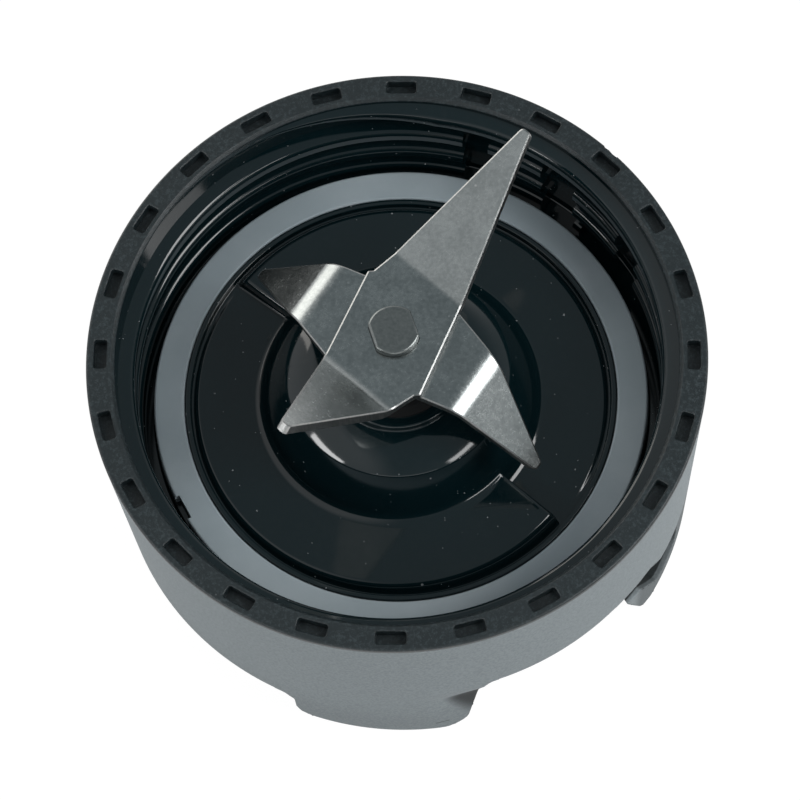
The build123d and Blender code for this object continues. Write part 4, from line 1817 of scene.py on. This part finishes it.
@dataclass
class Studio:
    """Camera, floor, lamps and world, in metres and degrees, with the lens in millimetres."""

    target: Triple = (-0.000137, -0.00758, 0.046)
    distance: float = 0.56064
    elevation: float = 68.145
    roll: float = -6.0126
    lens: float = 166.09
    sensor: float = 36.0
    floor_half: float = 3.0
    paper: Colour = (0.36, 0.36, 0.36)
    glow: float = 1.19
    glow_share: float = 0.82
    white: Colour = (1.0, 1.0, 1.0)
    sky: tuple[Colour, Colour] = ((0.31, 0.32, 0.33), (0.37, 0.38, 0.39))
    horizon: tuple[Colour, Colour] = ((0.36, 0.39, 0.40), (0.70, 0.71, 0.72))
    zenith: tuple[Colour, Colour] = ((0.205, 0.240, 0.255), (0.58, 0.60, 0.61))
    overhead_span: Span = (0.15, 0.8)
    left_span: Span = (0.1, 0.45)
    behind_span: Span = (-0.1, 0.5)
    behind_way: Point = (-0.6, 0.8)
    lamps: tuple[Lamp, ...] = (
        Lamp("right_box", (0.674, -0.174, 0.688), (0.335, 0.62), 3.9),
        Lamp("left_box", (-0.70, -0.342, 0.49), (0.40, 0.12), 1.35),
        Lamp("front_box", (0.568, -0.520, 0.600), (0.44, 0.09), 0.75),
        Lamp("front_fill", (-0.05, -0.90, 0.36), (0.80, 0.36), 0.8),
        Lamp("back_box", (-0.446, 0.773, 0.375), (0.44, 0.65), 1.75, (1.0, 0.965, 0.905)),
    )

    def camera(self) -> None:
        """Place the camera at the photograph's viewing angle."""
        rise = math.radians(self.elevation)
        back = Vector((0.0, -math.cos(rise), math.sin(rise)))
        right = Vector((1.0, 0.0, 0.0))
        up = back.cross(right)
        lean = math.radians(self.roll)
        across = right * math.cos(lean) + up * math.sin(lean)
        upward = up * math.cos(lean) - right * math.sin(lean)
        eye = Vector(self.target) + back * self.distance
        data = bpy.data.cameras.new("camera")
        data.lens = self.lens
        data.sensor_width = self.sensor
        made = Workshop.link("camera", data)
        turn = Matrix((across, upward, back)).transposed().to_4x4()
        made.matrix_world = Matrix.Translation(eye) @ turn
        bpy.context.scene.camera = made

    def floor(self) -> None:
        """Lay the pale floor, which stays white and keeps a faint shadow."""
        mesh = bmesh.new()
        bmesh.ops.create_grid(mesh, x_segments=1, y_segments=1, size=self.floor_half)
        made = Workshop.to_object("floor", mesh)
        material = bpy.data.materials.new("floor_paper")
        graph = Graph.fresh(material)
        paper = graph.sock("ShaderNodeBsdfDiffuse", None, {"Color": (*self.paper, 1.0)})
        glow = graph.sock("ShaderNodeEmission", None, {"Strength": self.glow})
        seen = graph.rays("Camera", "Glossy", "Transmission") * self.glow_share
        mixed = graph.sock("ShaderNodeMixShader", None, {0: seen, 1: paper, 2: glow})
        graph.node("ShaderNodeOutputMaterial", None, {"Surface": mixed})
        made.data.materials.append(material)

    def world(self) -> None:
        """Light the scene softly: white to the camera, pale and dim sides to what mirrors it."""
        world = bpy.data.worlds.new("studio")
        bpy.context.scene.world = world
        graph = Graph.fresh(world)
        across, away, rise = graph.parts(graph.sock("ShaderNodeTexCoord", give="Generated"))
        overhead = graph.smooth(rise, self.overhead_span)
        leftwards = graph.smooth(across * -1.0, self.left_span)
        behind = graph.smooth(across * self.behind_way[0] + away * self.behind_way[1], self.behind_span)
        horizon = graph.blend(behind, *self.horizon)
        zenith = graph.blend(leftwards, *self.zenith)
        shine = graph.blend(overhead, horizon, zenith)
        colour = graph.blend(graph.rays("Glossy"), graph.blend(overhead, *self.sky), shine)
        colour = graph.blend(graph.rays("Camera", "Transmission"), colour, self.white)
        shader = graph.sock("ShaderNodeBackground", None, {"Color": colour, "Strength": 1.0})
        graph.node("ShaderNodeOutputWorld", None, {"Surface": shader})

    def build(self) -> None:
        """Set up the whole studio."""
        self.camera()
        self.floor()
        self.world()
        for lamp in self.lamps:
            lamp.light()
        bpy.context.scene.view_settings.view_transform = "Standard"


def main() -> None:
    """Build every sub-assembly in order, then the studio."""
    logging.basicConfig(level=logging.INFO, format="%(name)s: %(message)s")
    assemblies = (Sleeve(), Holder(), CupThread(), CupSeal(), upper_blade(), lower_blade(), Shaft(),
                  InnerWorks(), Studio())
    for assembly in assemblies:
        assembly.build()


if __name__ == "__main__":
    main()
